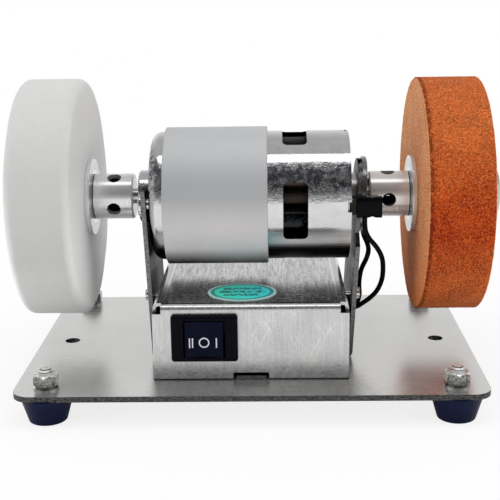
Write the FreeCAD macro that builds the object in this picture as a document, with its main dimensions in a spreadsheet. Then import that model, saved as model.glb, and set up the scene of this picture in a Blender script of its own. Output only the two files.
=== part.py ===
import FreeCAD, Part
import math
import os
import Sketcher
from FreeCAD import Placement, Rotation, Vector

# Double-ended mini bench grinder.  Millimetres, +Z up, +X to the right wheel, -Y to the user.
# The origin lies on the table, straight below the middle of the shaft.

doc = FreeCAD.newDocument("bench_grinder")
sheet = doc.addObject("Spreadsheet::Sheet", "Sizes")


# ---- driving dimensions ---------------------------------------------------------------------

class Size:
    """A length from the sheet: its number now, and the expression that keeps it bound."""

    def __init__(self, value, text):
        self.value = value
        self.text = text

    @staticmethod
    def of(other):
        return other if isinstance(other, Size) else Size(float(other), repr(float(other)))

    def join(self, other, sign, value):
        return Size(value, f"({self.text} {sign} {other.text})")

    def __add__(self, other):
        other = Size.of(other)
        return self.join(other, "+", self.value + other.value)

    def __sub__(self, other):
        other = Size.of(other)
        return self.join(other, "-", self.value - other.value)

    def __mul__(self, other):
        other = Size.of(other)
        return self.join(other, "*", self.value * other.value)

    def __truediv__(self, other):
        other = Size.of(other)
        return self.join(other, "/", self.value / other.value)

    def __neg__(self):
        return self * -1

    def __radd__(self, other):
        return Size.of(other) + self

    def __rmul__(self, other):
        return Size.of(other) * self

    def __rsub__(self, other):
        return Size.of(other) - self


def slope(angle):
    """The tangent of an angle that the sheet holds in degrees."""
    return Size(math.tan(math.radians(angle.value)), f"tan({angle.text} * 1 deg)")


row_of_next_cell = iter(range(1, 400))


def cell(alias, value):
    """Write one driving dimension into the sheet and return it as a Size."""
    row = next(row_of_next_cell)
    sheet.set(f"A{row}", alias.replace("_", " "))
    sheet.set(f"B{row}", str(value))
    sheet.setAlias(f"B{row}", alias)
    return Size(float(value), f"Sizes.{alias}")


# base plate and feet
plate_width = cell("plate_width", 144)
plate_depth = cell("plate_depth", 100)
plate_thick = cell("plate_thick", 1.8)
plate_corner = cell("plate_corner", 6)
mount_spacing = cell("mount_spacing", 124)
mount_bore = cell("mount_bore", 5)
foot_inset_x = cell("foot_inset_x", 9.8)
foot_inset_y = cell("foot_inset_y", 7.4)
foot_tall = cell("foot_tall", 8.3)
foot_top_bore = cell("foot_top_diameter", 16.4)
foot_low_bore = cell("foot_low_diameter", 11.6)
foot_recess = cell("foot_recess_depth", 3.4)
shaft_above_plate = cell("shaft_above_plate", 50.4)

# screws, each with its nut
large_screw = cell("large_screw", 3.9)
small_screw = cell("small_screw", 2.9)
screw_gap = cell("screw_gap", 0.2)
thread_gap = cell("thread_gap", 0.06)
large_head = cell("large_head", 7)
large_head_tall = cell("large_head_tall", 2.6)
small_head = cell("small_head", 5.6)
small_head_tall = cell("small_head_tall", 1.9)
large_nut = cell("large_nut", 7)
large_nut_tall = cell("large_nut_tall", 3.2)
small_nut = cell("small_nut", 5.5)
small_nut_tall = cell("small_nut_tall", 2.4)
washer_wide = cell("washer_wide", 7.9)
washer_thick = cell("washer_thick", 0.6)
lock_washer_wide = cell("lock_washer_wide", 6.8)
lock_washer_thick = cell("lock_washer_thick", 0.9)
cover_screw = cell("cover_screw", 1.9)
cover_head = cell("cover_head", 3.8)
cover_head_tall = cell("cover_head_tall", 1.3)
cover_nut = cell("cover_nut", 4)
cover_nut_tall = cell("cover_nut_tall", 1.6)
foot_bolt_end = cell("foot_bolt_end", 1.7)
motor_head_tall = cell("motor_head_tall", 1)
small_screw_end = cell("small_screw_end", 1)

# motor bracket
bracket_inside = cell("bracket_inside", 62)
bracket_thick = cell("bracket_thick", 1.4)
bracket_bend = cell("bracket_bend", 0.6)
arm_depth = cell("arm_depth", 36)
left_lean = cell("left_lean", 2.2)
right_lean = cell("right_lean", 3.4)
left_arm_rise = cell("left_arm_rise", 5)
ear_rise = cell("ear_rise", 11.6)
ear_half = cell("ear_half", 11.6)
ear_round = cell("ear_round", 11)
shoulder_level = cell("shoulder_level", 37)
shoulder_slope = cell("shoulder_slope", 3)
boss_washer_wide = cell("boss_washer_wide", 24.8)
boss_washer_thick = cell("boss_washer_thick", 1.5)
tab_wide = cell("tab_wide", 9.2)
tab_proud = cell("tab_proud", 0.3)
bracket_screw_x = cell("bracket_screw_x", 20)
bracket_screw_y = cell("bracket_screw_y", 10)
boss_gap = cell("boss_gap", 0.3)

# switch box
box_width = cell("box_width", 60)
box_depth = cell("box_depth", 73.8)
box_tall = cell("box_tall", 24)
box_wall = cell("box_wall", 1)
box_bend = cell("box_bend", 1.8)
corner_relief = cell("corner_relief", 2.7)
seam_gap = cell("seam_gap", 0.5)
notch_gap = cell("notch_gap", 0.9)
web_gap = cell("web_gap", 0.2)
cover_screw_y = cell("cover_screw_y", -12)
wire_hole = cell("wire_hole", 7)
wire_hole_y = cell("wire_hole_y", -4)
wire_hole_z = cell("wire_hole_z", 12.5)
label_long = cell("label_long", 21.6)
label_wide = cell("label_wide", 18.2)
label_thick = cell("label_thick", 0.2)
label_x = cell("label_x", -2.8)
label_y = cell("label_y", -23.5)

# rocker switch
switch_x = cell("switch_x", -14.1)
bezel_wide = cell("bezel_wide", 20.4)
bezel_tall = cell("bezel_tall", 14.8)
bezel_thick = cell("bezel_thick", 2)
bezel_round = cell("bezel_round", 1)
housing_wide = cell("housing_wide", 18.8)
housing_tall = cell("housing_tall", 13)
housing_deep = cell("housing_deep", 13)
panel_gap = cell("panel_gap", 0.1)
opening_wide = cell("opening_wide", 12.8)
opening_tall = cell("opening_tall", 11.8)
opening_deep = cell("opening_deep", 9)
rocker_wide = cell("rocker_wide", 11.5)
rocker_tall = cell("rocker_tall", 11.2)
rocker_proud = cell("rocker_proud", 1.1)
rocker_pin = cell("rocker_pin", 2)
pin_reach = cell("pin_reach", 0.7)
pin_gap = cell("pin_gap", 0.05)
blade_wide = cell("blade_wide", 4.7)
blade_thick = cell("blade_thick", 0.8)
blade_gap = cell("blade_gap", 0.05)
switch_blade_pitch = cell("switch_blade_pitch", 5.5)
switch_blade_long = cell("switch_blade_long", 7)

# power inlet in the rear panel
inlet_x = cell("inlet_x", 14)
inlet_z = cell("inlet_z", 12)
inlet_barrel = cell("inlet_barrel", 8)
inlet_flange = cell("inlet_flange", 11)
inlet_flange_thick = cell("inlet_flange_thick", 2)
inlet_deep = cell("inlet_deep", 11)
inlet_socket = cell("inlet_socket", 5.5)
inlet_pin = cell("inlet_pin", 2)
inlet_nut_wide = cell("inlet_nut_wide", 11)
inlet_nut_tall = cell("inlet_nut_tall", 2)
tag_apart = cell("tag_apart", 5)
tag_thick = cell("tag_thick", 0.5)
tag_wide = cell("tag_wide", 2.4)
tag_long = cell("tag_long", 4.5)

# motor
motor_reach = cell("motor_reach", 32)
motor_long = cell("motor_long", 63.6)
motor_wide = cell("motor_wide", 42)
can_wall = cell("can_wall", 1.5)
can_round = cell("can_round", 3.4)
front_boss = cell("front_boss", 17)
front_boss_long = cell("front_boss_long", 4.5)
boss_lip = cell("boss_lip", 1.2)
rear_boss = cell("rear_boss", 14)
rear_boss_long = cell("rear_boss_long", 4.9)
cap_thick = cell("cap_thick", 2.6)
cap_recess = cell("cap_recess", 0.6)
shaft_wide = cell("shaft_wide", 5)
shaft_hole = cell("shaft_hole", 8.4)
shaft_gap = cell("shaft_gap", 0.02)
seat_gap = cell("seat_gap", 0.04)
front_bearing_wide = cell("front_bearing_wide", 13)
rear_bearing_wide = cell("rear_bearing_wide", 11)
bearing_long = cell("bearing_long", 4)
vent_start = cell("vent_start", 10.3)
vent_long = cell("vent_long", 7.8)
vent_tall = cell("vent_tall", 18.4)
vent_round = cell("vent_round", 1.6)
vent_turn = cell("vent_turn", 4.5)
motor_screw_pitch = cell("motor_screw_pitch", 29)
ring_start = cell("ring_start", -27.4)
ring_long = cell("ring_long", 32.9)
ring_thick = cell("ring_thick", 1.4)
ring_split = cell("ring_split", 0.5)
crimp_long = cell("crimp_long", 1.2)
crimp_wide = cell("crimp_wide", 3.2)
magnet_start = cell("magnet_start", -22)
magnet_long = cell("magnet_long", 26)
magnet_thick = cell("magnet_thick", 3)
magnet_span = cell("magnet_span", 124)
air_gap = cell("air_gap", 0.8)
core_start = cell("core_start", -20)
core_long = cell("core_long", 24)
core_slots = 5
winding_gap = cell("winding_gap", 0.3)
front_winding_long = cell("front_winding_long", 6)
rear_winding_long = cell("rear_winding_long", 4)
commutator_wide = cell("commutator_wide", 12.8)
commutator_start = cell("commutator_start", 9)
commutator_long = cell("commutator_long", 16)
commutator_bars = 10
brush_wide = cell("brush_wide", 4.4)
brush_gap = cell("brush_gap", 0.3)
brush_x = cell("brush_x", 22.2)
holder_wall = cell("holder_wall", 0.7)
spring_wide = cell("spring_wide", 3)
spring_wire = cell("spring_wire", 0.4)
spring_turns = 4
terminal_y = cell("terminal_y", 15.2)
terminal_z = cell("terminal_z", -1.15)
terminal_long = cell("terminal_long", 8.6)
sleeve_start = cell("sleeve_start", 33.4)
sleeve_long = cell("sleeve_long", 8.1)
sleeve_tall = cell("sleeve_tall", 6.3)
sleeve_thick = cell("sleeve_thick", 3.2)

# arbors and wheels
hub_start = cell("hub_start", 38.3)
hub_wide = cell("hub_wide", 14.9)
flange_wide = cell("flange_wide", 25)
flange_thick = cell("flange_thick", 1.6)
wheel_start = cell("wheel_start", 53.2)
arbor_wide = cell("arbor_wide", 10)
arbor_bore_deep = cell("arbor_bore_deep", 25)
arbor_end = cell("arbor_end", 0.7)
set_screw = cell("set_screw", 4.4)
set_screw_long = cell("set_screw_long", 3)
set_screw_x = cell("set_screw_x", 44.6)
left_screw_turn = cell("left_screw_turn", 24)
right_screw_turn = cell("right_screw_turn", 5)
felt_wide = cell("felt_wheel_wide", 77)
stone_wide = cell("stone_wheel_wide", 75.5)
wheel_thick = cell("wheel_thick", 19.8)
wheel_bore_gap = cell("wheel_bore_gap", 0.05)
felt_round = cell("felt_round", 2.4)
stone_chamfer = cell("stone_chamfer", 0.6)
clamp_wide = cell("clamp_wide", 24)
clamp_thick = cell("clamp_thick", 1.8)
arbor_nut = cell("arbor_nut", 15)
arbor_nut_tall = cell("arbor_nut_tall", 5.5)

# leads
lead_wide = cell("lead_wide", 1.5)
lead_gap = cell("lead_gap", 0.2)
grommet_lip = cell("grommet_lip", 0.8)

# levels and places worked out from the driving dimensions
plate_top = foot_tall + plate_thick
shaft_level = plate_top + shaft_above_plate
box_front = -box_depth / 2
box_side = box_width / 2
arm_base = bracket_inside / 2 + bracket_thick
motor_end = motor_long - motor_reach
motor_radius = motor_wide / 2
can_inside = motor_radius - can_wall
cap_front = motor_end - cap_recess - cap_thick
cap_rear = motor_end - cap_recess
wheel_end = wheel_start + wheel_thick
clamp_end = wheel_end + clamp_thick
arbor_nut_end = clamp_end + arbor_nut_tall
foot_x = plate_width / 2 - foot_inset_x
foot_y = plate_depth / 2 - foot_inset_y
cover_screw_z = box_tall - 4
switch_z = box_tall * 0.575
holder_reach = can_inside - 1.9
winding_wide = motor_wide - 15
brush_long = (holder_reach - commutator_wide / 2) * 0.59


# ---- helpers --------------------------------------------------------------------------------

def bind(thing, path, size):
    """Tie one property or constraint to the sheet."""
    if isinstance(size, Size):
        thing.setExpression(path, size.text)


def place(thing, x=0, y=0, z=0, axis=None, angle=0):
    """Put an object at a place worked out from the sheet, turned about an axis."""
    corner = [Size.of(value) for value in (x, y, z)]
    turn = Size.of(angle)
    thing.Placement = Placement(Vector(*[value.value for value in corner]),
                                Rotation(axis or Vector(0, 0, 1), turn.value))
    for letter, value in zip("xyz", corner):
        bind(thing, f"Placement.Base.{letter}", value)
    if axis:
        bind(thing, "Placement.Rotation.Angle", turn)


def body(label, **where):
    """Start a sub-part at its place."""
    piece = doc.addObject("PartDesign::Body", label)
    piece.Label = label
    piece.AllowCompound = True
    place(piece, **where)
    return piece


def sketch(piece, plane, lift=0):
    """A sketch on one of the body's own origin planes, lifted along the plane's normal."""
    made = piece.newObject("Sketcher::SketchObject", piece.Name + "_sketch")
    support = [part for part in piece.Origin.OriginFeatures if part.Role == plane][0]
    made.AttachmentSupport = [(support, "")]
    made.MapMode = "FlatFace"
    height = Size.of(lift)
    made.AttachmentOffset = Placement(Vector(0, 0, height.value), Rotation())
    bind(made, "AttachmentOffset.Base.z", height)
    return made


def pin_point(made, curve, end, x, y):
    """Hold one point of a sketch at a place worked out from the sheet."""
    for kind, axis_line, value in (("DistanceX", -2, Size.of(x)), ("DistanceY", -1, Size.of(y))):
        if value.value == 0:
            made.addConstraint(Sketcher.Constraint("PointOnObject", curve, end, axis_line))
        else:
            index = made.addConstraint(Sketcher.Constraint(kind, -1, 1, curve, end, value.value))
            bind(made, f"Constraints[{index}]", value)


def outline(made, points):
    """A closed outline of straight lines through points worked out from the sheet."""
    corners = [(Size.of(x), Size.of(y)) for x, y in points]
    first = made.GeometryCount
    for here, there in zip(corners, corners[1:] + corners[:1]):
        made.addGeometry(Part.LineSegment(Vector(here[0].value, here[1].value, 0),
                                          Vector(there[0].value, there[1].value, 0)))
    for index, (x, y) in enumerate(corners):
        before = first + (index - 1) % len(corners)
        made.addConstraint(Sketcher.Constraint("Coincident", before, 2, first + index, 1))
        pin_point(made, first + index, 1, x, y)


def rectangle(made, x, y, wide, tall):
    """A rectangle about its middle."""
    x, y, half, rise = Size.of(x), Size.of(y), Size.of(wide) / 2, Size.of(tall) / 2
    outline(made, [(x - half, y - rise), (x + half, y - rise), (x + half, y + rise), (x - half, y + rise)])


def circle(made, x, y, wide):
    """A circle of a diameter from the sheet."""
    x, y, wide = Size.of(x), Size.of(y), Size.of(wide)
    ring = Part.Circle(Vector(x.value, y.value, 0), Vector(0, 0, 1), wide.value / 2)
    curve = made.addGeometry(ring)
    pin_point(made, curve, 3, x, y)
    index = made.addConstraint(Sketcher.Constraint("Diameter", curve, wide.value))
    bind(made, f"Constraints[{index}]", wide)


def hexagon(made, x, y, across_flats, first=0):
    """A regular hexagon, its first corner turned from the sketch's x direction."""
    corner = Size.of(across_flats) / math.sqrt(3)
    turns = [math.radians(60 * step + first) for step in range(6)]
    outline(made, [(x + corner * round(math.cos(turn), 6), y + corner * round(math.sin(turn), 6))
                   for turn in turns])


def pad(piece, made, length, both_sides=False, backwards=False):
    feature = piece.newObject("PartDesign::Pad", piece.Name + "_pad")
    feature.Profile = made
    feature.Length = Size.of(length).value
    bind(feature, "Length", length)
    feature.SideType = "Symmetric" if both_sides else "One side"
    feature.Reversed = backwards
    piece.Tip = feature
    return feature


def pocket(piece, made, length=None, both_sides=False, backwards=False):
    """Cut a pocket, through everything unless a length is given, and check that it cuts."""
    doc.recompute()
    before = piece.Tip.Shape.Volume
    feature = piece.newObject("PartDesign::Pocket", piece.Name + "_pocket")
    feature.Profile = made
    if length is None:
        feature.Type = "ThroughAll"
    else:
        feature.Length = Size.of(length).value
        bind(feature, "Length", length)
    feature.SideType = "Symmetric" if both_sides else "One side"
    feature.Reversed = backwards
    piece.Tip = feature
    doc.recompute()
    if feature.Shape.Volume >= before:
        raise RuntimeError(f"{feature.Name} cuts nothing")
    return feature


def turned(piece, *profiles, axis="H_Axis", angle=360):
    """Turn one or more closed profiles, drawn in the XZ plane, about the sketch's own axis."""
    made = sketch(piece, "XZ_Plane")
    for profile in profiles:
        outline(made, profile)
    feature = piece.newObject("PartDesign::Revolution", piece.Name + "_turned")
    feature.Profile = made
    feature.ReferenceAxis = (made, [axis])
    feature.Angle = Size.of(angle).value
    bind(feature, "Angle", angle)
    feature.Midplane = angle != 360
    piece.Tip = feature
    doc.recompute()
    return feature


def dress(piece, kind, reach, wanted):
    """Round or bevel the edges of the sub-part that a test picks out."""
    doc.recompute()
    base = piece.Tip
    names = [f"Edge{number + 1}" for number, edge in enumerate(base.Shape.Edges) if wanted(edge)]
    if not names:
        raise RuntimeError(f"{piece.Label} has no such edge")
    feature = piece.newObject("PartDesign::" + kind, piece.Name + "_" + kind.lower())
    feature.Base = (base, names)
    path = "Radius" if kind == "Fillet" else "Size"
    setattr(feature, path, Size.of(reach).value)
    bind(feature, path, reach)
    piece.Tip = feature
    doc.recompute()


def about(value, wanted, room=0.01):
    return abs(value - Size.of(wanted).value) < room


def runs_along(edge, direction):
    """True for a straight edge parallel to a direction."""
    if edge.Curve.TypeId != "Part::GeomLine":
        return False
    return abs(abs(edge.tangentAt(edge.FirstParameter).dot(direction)) - 1) < 1e-6


def rim(edge, x, radius):
    """True for a full circle about the X axis, at a place and radius."""
    if edge.Curve.TypeId != "Part::GeomCircle" or not edge.Closed:
        return False
    return about(edge.Curve.Center.x, x) and about(edge.Curve.Radius, radius)


def pattern(piece, originals, axis_role, count, angle=360):
    """Repeat features round one of the body's own axes."""
    feature = piece.newObject("PartDesign::PolarPattern", piece.Name + "_pattern")
    line = [part for part in piece.Origin.OriginFeatures if part.Role == axis_role][0]
    feature.Originals = originals
    feature.Axis = (line, [""])
    feature.Angle = angle
    feature.Occurrences = count
    piece.Tip = feature
    doc.recompute()


def mirrored(label, source, normal, level=0):
    """A mirror image of an object in a plane across the middle, at a level for a flat plane."""
    height = Size.of(level)
    image = doc.addObject("Part::Mirroring", label)
    image.Source = source
    image.Normal = normal
    image.Base = Vector(0, 0, height.value)
    bind(image, "Base.z", height)
    return image


def group(label, pieces):
    """Several separate solids that share one node."""
    made = doc.addObject("Part::Compound", label)
    made.Label = label
    made.Links = pieces
    return made


def at_four_corners(label, one):
    """One fastener or foot, and its images across the object's two middle planes."""
    across = mirrored(label + "_across", one, Vector(1, 0, 0))
    front = group(label + "_front", [one, across])
    back = mirrored(label + "_back", front, Vector(0, 1, 0))
    return group(label, [front, back])


def on_both_sides(label, one, normal):
    """A piece and its mirror image in a plane through the shaft's middle."""
    return group(label, [one, mirrored(label + "_image", one, normal, shaft_level)])


def screw(label, head, head_tall, shank, length, **where):
    """A pan-head screw: its head stands below the seat at z = 0, and its shank rises from it."""
    piece = body(label, **where)
    turned(piece, [(0, -head_tall), (head / 2, -head_tall), (head / 2, 0), (shank / 2, 0),
                   (shank / 2, length), (0, length)], axis="V_Axis")
    dress(piece, "Fillet", head_tall * 0.45,
          lambda edge: edge.Closed and about(edge.CenterOfMass.z, -head_tall))
    dress(piece, "Chamfer", shank * 0.1,
          lambda edge: edge.Closed and about(edge.CenterOfMass.z, length))
    slot = sketch(piece, "XY_Plane", -head_tall)
    rectangle(slot, 0, 0, head * 0.55, 0.9)
    first = pocket(piece, slot, head_tall * 0.45, backwards=True)
    pattern(piece, [first], "Z_Axis", 2, 180)
    return piece


def nut(label, across_flats, bore, length, first=0, **where):
    """A hexagon nut whose outer face is turned down to a ring."""
    piece = body(label, **where)
    made = sketch(piece, "XY_Plane")
    hexagon(made, 0, 0, across_flats, first)
    circle(made, 0, 0, bore)
    pad(piece, made, length)
    corner = across_flats / math.sqrt(3) + 0.1
    made = sketch(piece, "XZ_Plane")
    outline(made, [(across_flats * 0.48, length), (corner, length), (corner, length * 0.82)])
    feature = piece.newObject("PartDesign::Groove", piece.Name + "_groove")
    feature.Profile = made
    feature.ReferenceAxis = (made, ["V_Axis"])
    feature.Angle = 360
    piece.Tip = feature
    return piece


def tube(label, route, wide):
    """A lead: straight runs joined by tangent arcs, as large as the two runs beside each allow."""
    points = [Vector(*point) for point in route]
    edges = []
    start = points[0]
    for before, corner, after in zip(points, points[1:], points[2:]):
        arriving = (corner - before).normalize()
        leaving = (after - corner).normalize()
        reach = 0.45 * min((corner - before).Length, (after - corner).Length)
        half_turn = arriving.getAngle(leaving) / 2
        radius = reach / math.tan(half_turn)
        inward = (leaving - arriving).normalize()
        middle = corner + inward * (radius / math.cos(half_turn) - radius)
        enter, leave = corner - arriving * reach, corner + leaving * reach
        edges.append(Part.LineSegment(start, enter).toShape())
        edges.append(Part.Arc(enter, middle, leave).toShape())
        start = leave
        print(f"{label}: turn {math.degrees(2 * half_turn):.0f} deg, radius {radius:.1f} mm")
    edges.append(Part.LineSegment(start, points[-1]).toShape())
    path = Part.Wire(edges)
    ring = Part.Wire(Part.makeCircle(wide / 2, points[0], points[1] - points[0]))
    made = doc.addObject("Part::Feature", label)
    made.Label = label
    made.Shape = path.makePipeShell([ring], True, False)
    section = math.pi * wide ** 2 / 4
    if abs(made.Shape.Volume / (section * path.Length) - 1) > 0.01:
        raise RuntimeError(f"{label} is not as long as its path")
    print(f"{label}: {path.Length:.0f} mm long")
    return made


nodes = []


def keep(*pieces):
    nodes.extend(pieces)


# ---- base plate and feet --------------------------------------------------------------------

base_plate = body("base_plate", z=foot_tall)
made = sketch(base_plate, "XY_Plane")
rectangle(made, 0, 0, plate_width, plate_depth)
pad(base_plate, made, plate_thick)
dress(base_plate, "Fillet", plate_corner, lambda edge: runs_along(edge, Vector(0, 0, 1)))
made = sketch(base_plate, "XY_Plane", plate_thick)
for side in (-1, 1):
    circle(made, mount_spacing / 2 * side, 0, mount_bore)
    for front in (-1, 1):
        circle(made, foot_x * side, foot_y * front, large_screw + screw_gap * 2)
        circle(made, bracket_screw_x * side, bracket_screw_y * front, small_screw + screw_gap * 2)
pocket(base_plate, made)
keep(base_plate)

foot = body("foot_one", x=foot_x, y=-foot_y, z=foot_tall)
foot_bolt_bore = large_screw / 2 + screw_gap
foot_seat = -(foot_tall - foot_recess)
foot_recess_radius = large_head / 2 + screw_gap * 2
turned(foot, [(foot_bolt_bore, 0), (foot_top_bore / 2, 0), (foot_low_bore / 2, -foot_tall),
              (foot_recess_radius, -foot_tall), (foot_recess_radius, foot_seat),
              (foot_bolt_bore, foot_seat)], axis="V_Axis")
dress(foot, "Fillet", 0.5, lambda edge: edge.Closed and about(edge.CenterOfMass.z, -foot_tall)
      and about(edge.Curve.Radius, foot_low_bore / 2))
keep(at_four_corners("rubber_feet", foot))

foot_stack = plate_thick + washer_thick + lock_washer_thick + large_nut_tall
foot_bolt_long = foot_tall - foot_recess + foot_stack + foot_bolt_end
foot_bolt = screw("foot_bolt_one", large_head, large_head_tall, large_screw, foot_bolt_long,
                  x=foot_x, y=-foot_y, z=foot_recess)
keep(at_four_corners("foot_bolts", foot_bolt))

foot_washer = body("foot_washer_one", x=foot_x, y=-foot_y, z=plate_top)
made = sketch(foot_washer, "XY_Plane")
circle(made, 0, 0, washer_wide)
circle(made, 0, 0, large_screw + screw_gap * 2)
pad(foot_washer, made, washer_thick)
keep(at_four_corners("foot_washers", foot_washer))

lock_washer_level = plate_top + washer_thick
lock_washer = body("lock_washer_one", x=foot_x, y=-foot_y, z=lock_washer_level)
made = sketch(lock_washer, "XY_Plane")
circle(made, 0, 0, lock_washer_wide)
circle(made, 0, 0, large_screw + screw_gap * 2)
pad(lock_washer, made, lock_washer_thick)
made = sketch(lock_washer, "XY_Plane")
rectangle(made, -lock_washer_wide / 2, 0, lock_washer_wide / 2, 0.4)
pocket(lock_washer, made, backwards=True)
keep(at_four_corners("foot_lock_washers", lock_washer))

foot_nut = nut("foot_nut_one", large_nut, large_screw + thread_gap * 2, large_nut_tall, first=30,
               x=foot_x, y=-foot_y, z=lock_washer_level + lock_washer_thick)
keep(at_four_corners("foot_nuts", foot_nut))


# ---- motor bracket --------------------------------------------------------------------------

left_slope = slope(left_lean)
right_slope = slope(right_lean)
left_top = shaft_above_plate + left_arm_rise
ear_top = shaft_above_plate + ear_rise
arm_half = arm_depth / 2


def left_arm_face(height):
    """The left arm's outer face, as a distance from the middle plane."""
    return arm_base + height * left_slope


def right_arm_face(height):
    """The right arm's outer face, as a distance from the middle plane."""
    return arm_base + height * right_slope


bracket = body("motor_bracket", z=plate_top)
made = sketch(bracket, "XZ_Plane")
outline(made, [
    (-arm_base, 0), (arm_base, 0),
    (right_arm_face(ear_top), ear_top), (right_arm_face(ear_top) - bracket_thick, ear_top),
    (right_arm_face(bracket_thick) - bracket_thick, bracket_thick),
    (bracket_thick - left_arm_face(bracket_thick), bracket_thick),
    (bracket_thick - left_arm_face(left_top), left_top), (-left_arm_face(left_top), left_top)])
pad(bracket, made, arm_depth, both_sides=True)

# the right arm narrows to a rounded ear behind the hub
made = sketch(bracket, "YZ_Plane")
for edge_side in (-1, 1):
    outline(made, [(arm_half * edge_side, shoulder_level),
                   ((arm_half + 1) * edge_side, shoulder_level),
                   ((arm_half + 1) * edge_side, ear_top + 1), (ear_half * edge_side, ear_top + 1),
                   (ear_half * edge_side, shoulder_level + shoulder_slope)])
pocket(bracket, made, backwards=True)
dress(bracket, "Fillet", ear_round, lambda edge: runs_along(edge, Vector(1, 0, 0))
      and about(edge.CenterOfMass.z, ear_top) and abs(edge.CenterOfMass.y) > 1)

# an open slot in the left arm for the motor's front boss, and its two fixing holes
made = sketch(bracket, "YZ_Plane")
circle(made, 0, shaft_above_plate, front_boss + boss_gap * 2)
pocket(bracket, made)
made = sketch(bracket, "YZ_Plane")
rectangle(made, 0, shaft_above_plate + left_arm_rise, front_boss + boss_gap * 2, left_arm_rise * 2)
pocket(bracket, made)
made = sketch(bracket, "YZ_Plane")
for side in (-1, 1):
    circle(made, motor_screw_pitch / 2 * side, shaft_above_plate, large_screw + screw_gap * 2)
pocket(bracket, made)

# the right arm's holes: the motor's rear boss, and the two leads
made = sketch(bracket, "YZ_Plane")
circle(made, 0, shaft_above_plate, rear_boss + boss_gap * 2)
circle(made, wire_hole_y, wire_hole_z, wire_hole)
pocket(bracket, made, backwards=True)

# one hole through each arm for the screw that holds the box
made = sketch(bracket, "YZ_Plane")
circle(made, cover_screw_y, cover_screw_z, cover_screw + screw_gap * 2)
pocket(bracket, made, both_sides=True)

# the web's front tab, and the holes that fix the web to the plate
made = sketch(bracket, "XY_Plane")
tab_end = box_front - tab_proud
outline(made, [(-tab_wide / 2, tab_end), (tab_wide / 2, tab_end),
               (tab_wide / 2, -arm_half + 1), (-tab_wide / 2, -arm_half + 1)])
pad(bracket, made, bracket_thick)
made = sketch(bracket, "XY_Plane", bracket_thick)
for side in (-1, 1):
    for front in (-1, 1):
        circle(made, bracket_screw_x * side, bracket_screw_y * front, small_screw + screw_gap * 2)
pocket(bracket, made)
dress(bracket, "Fillet", bracket_bend, lambda edge: runs_along(edge, Vector(0, 1, 0))
      and about(edge.CenterOfMass.z, bracket_thick) and abs(edge.CenterOfMass.x) > 25)
dress(bracket, "Fillet", bracket_bend + bracket_thick, lambda edge: runs_along(edge, Vector(0, 1, 0))
      and about(edge.CenterOfMass.z, 0) and abs(edge.CenterOfMass.x) > 25)
keep(bracket)

# a plain washer on the rear boss lies flat on the leaning arm
boss_washer = body("boss_washer", x=right_arm_face(shaft_above_plate), z=plate_top + shaft_above_plate,
                   axis=Vector(0, 1, 0), angle=right_lean)
washer_hole = rear_boss / 2 + boss_gap
turned(boss_washer, [(0, washer_hole), (0, boss_washer_wide / 2), (boss_washer_thick, boss_washer_wide / 2),
                     (boss_washer_thick, washer_hole)])
dress(boss_washer, "Fillet", 0.3, lambda edge: rim(edge, boss_washer_thick, boss_washer_wide / 2))
keep(boss_washer)

bracket_grip = bracket_thick + plate_thick
bracket_screw = screw("bracket_screw_one", small_head, small_head_tall, small_screw,
                      bracket_grip + small_nut_tall + small_screw_end,
                      x=bracket_screw_x, y=-bracket_screw_y, z=plate_top + bracket_thick,
                      axis=Vector(1, 0, 0), angle=180)
keep(at_four_corners("bracket_screws", bracket_screw))
bracket_nut = nut("bracket_nut_one", small_nut, small_screw + thread_gap * 2, small_nut_tall,
                  x=bracket_screw_x, y=-bracket_screw_y, z=foot_tall - small_nut_tall)
keep(at_four_corners("bracket_nuts", bracket_nut))


# ---- switch box -----------------------------------------------------------------------------

box = body("switch_box", z=plate_top)
made = sketch(box, "XY_Plane")
rectangle(made, 0, 0, box_width, box_depth)
pad(box, made, box_tall)
dress(box, "Fillet", box_bend, lambda edge: about(edge.CenterOfMass.z, box_tall))
made = sketch(box, "XY_Plane")
rectangle(made, 0, 0, box_width - box_wall * 2, box_depth - box_wall * 2)
pocket(box, made, box_tall - box_wall, backwards=True)
dress(box, "Fillet", box_bend - box_wall, lambda edge: about(edge.CenterOfMass.z, box_tall - box_wall)
      and abs(edge.CenterOfMass.z - box_tall.value) > 0.5)

# a square relief at each top corner, and an open seam down each vertical corner
made = sketch(box, "XY_Plane")
for side in (-1, 1):
    for front in (-1, 1):
        rectangle(made, (box_side - corner_relief / 2 + 0.5) * side,
                  (box_depth / 2 - corner_relief / 2 + 0.5) * front,
                  corner_relief + 1, corner_relief + 1)
relief_start = box_tall - corner_relief
made.AttachmentOffset = Placement(Vector(0, 0, relief_start.value), Rotation())
bind(made, "AttachmentOffset.Base.z", relief_start)
pocket(box, made, corner_relief + 1, backwards=True)
made = sketch(box, "XY_Plane")
for side in (-1, 1):
    for front in (-1, 1):
        rectangle(made, (box_side - box_wall / 2) * side,
                  (box_depth / 2 - box_wall - seam_gap / 2) * front, box_wall + 0.2, seam_gap)
pocket(box, made, relief_start + 0.1, backwards=True)

# front panel: the switch's cut-out, and the notch for the bracket's tab
front_panel_inside = box_depth / 2 - box_wall
made = sketch(box, "XZ_Plane", front_panel_inside - 0.5)
rectangle(made, switch_x, switch_z, housing_wide + panel_gap * 2, housing_tall + panel_gap * 2)
rectangle(made, 0, bracket_thick / 2, tab_wide + notch_gap * 2, bracket_thick + notch_gap * 2)
pocket(box, made, box_wall + 1, backwards=True)

# rear panel: the power inlet's hole
made = sketch(box, "XZ_Plane", -front_panel_inside + 0.5)
circle(made, inlet_x, inlet_z, inlet_barrel + panel_gap * 2)
pocket(box, made, box_wall + 1)

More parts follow.
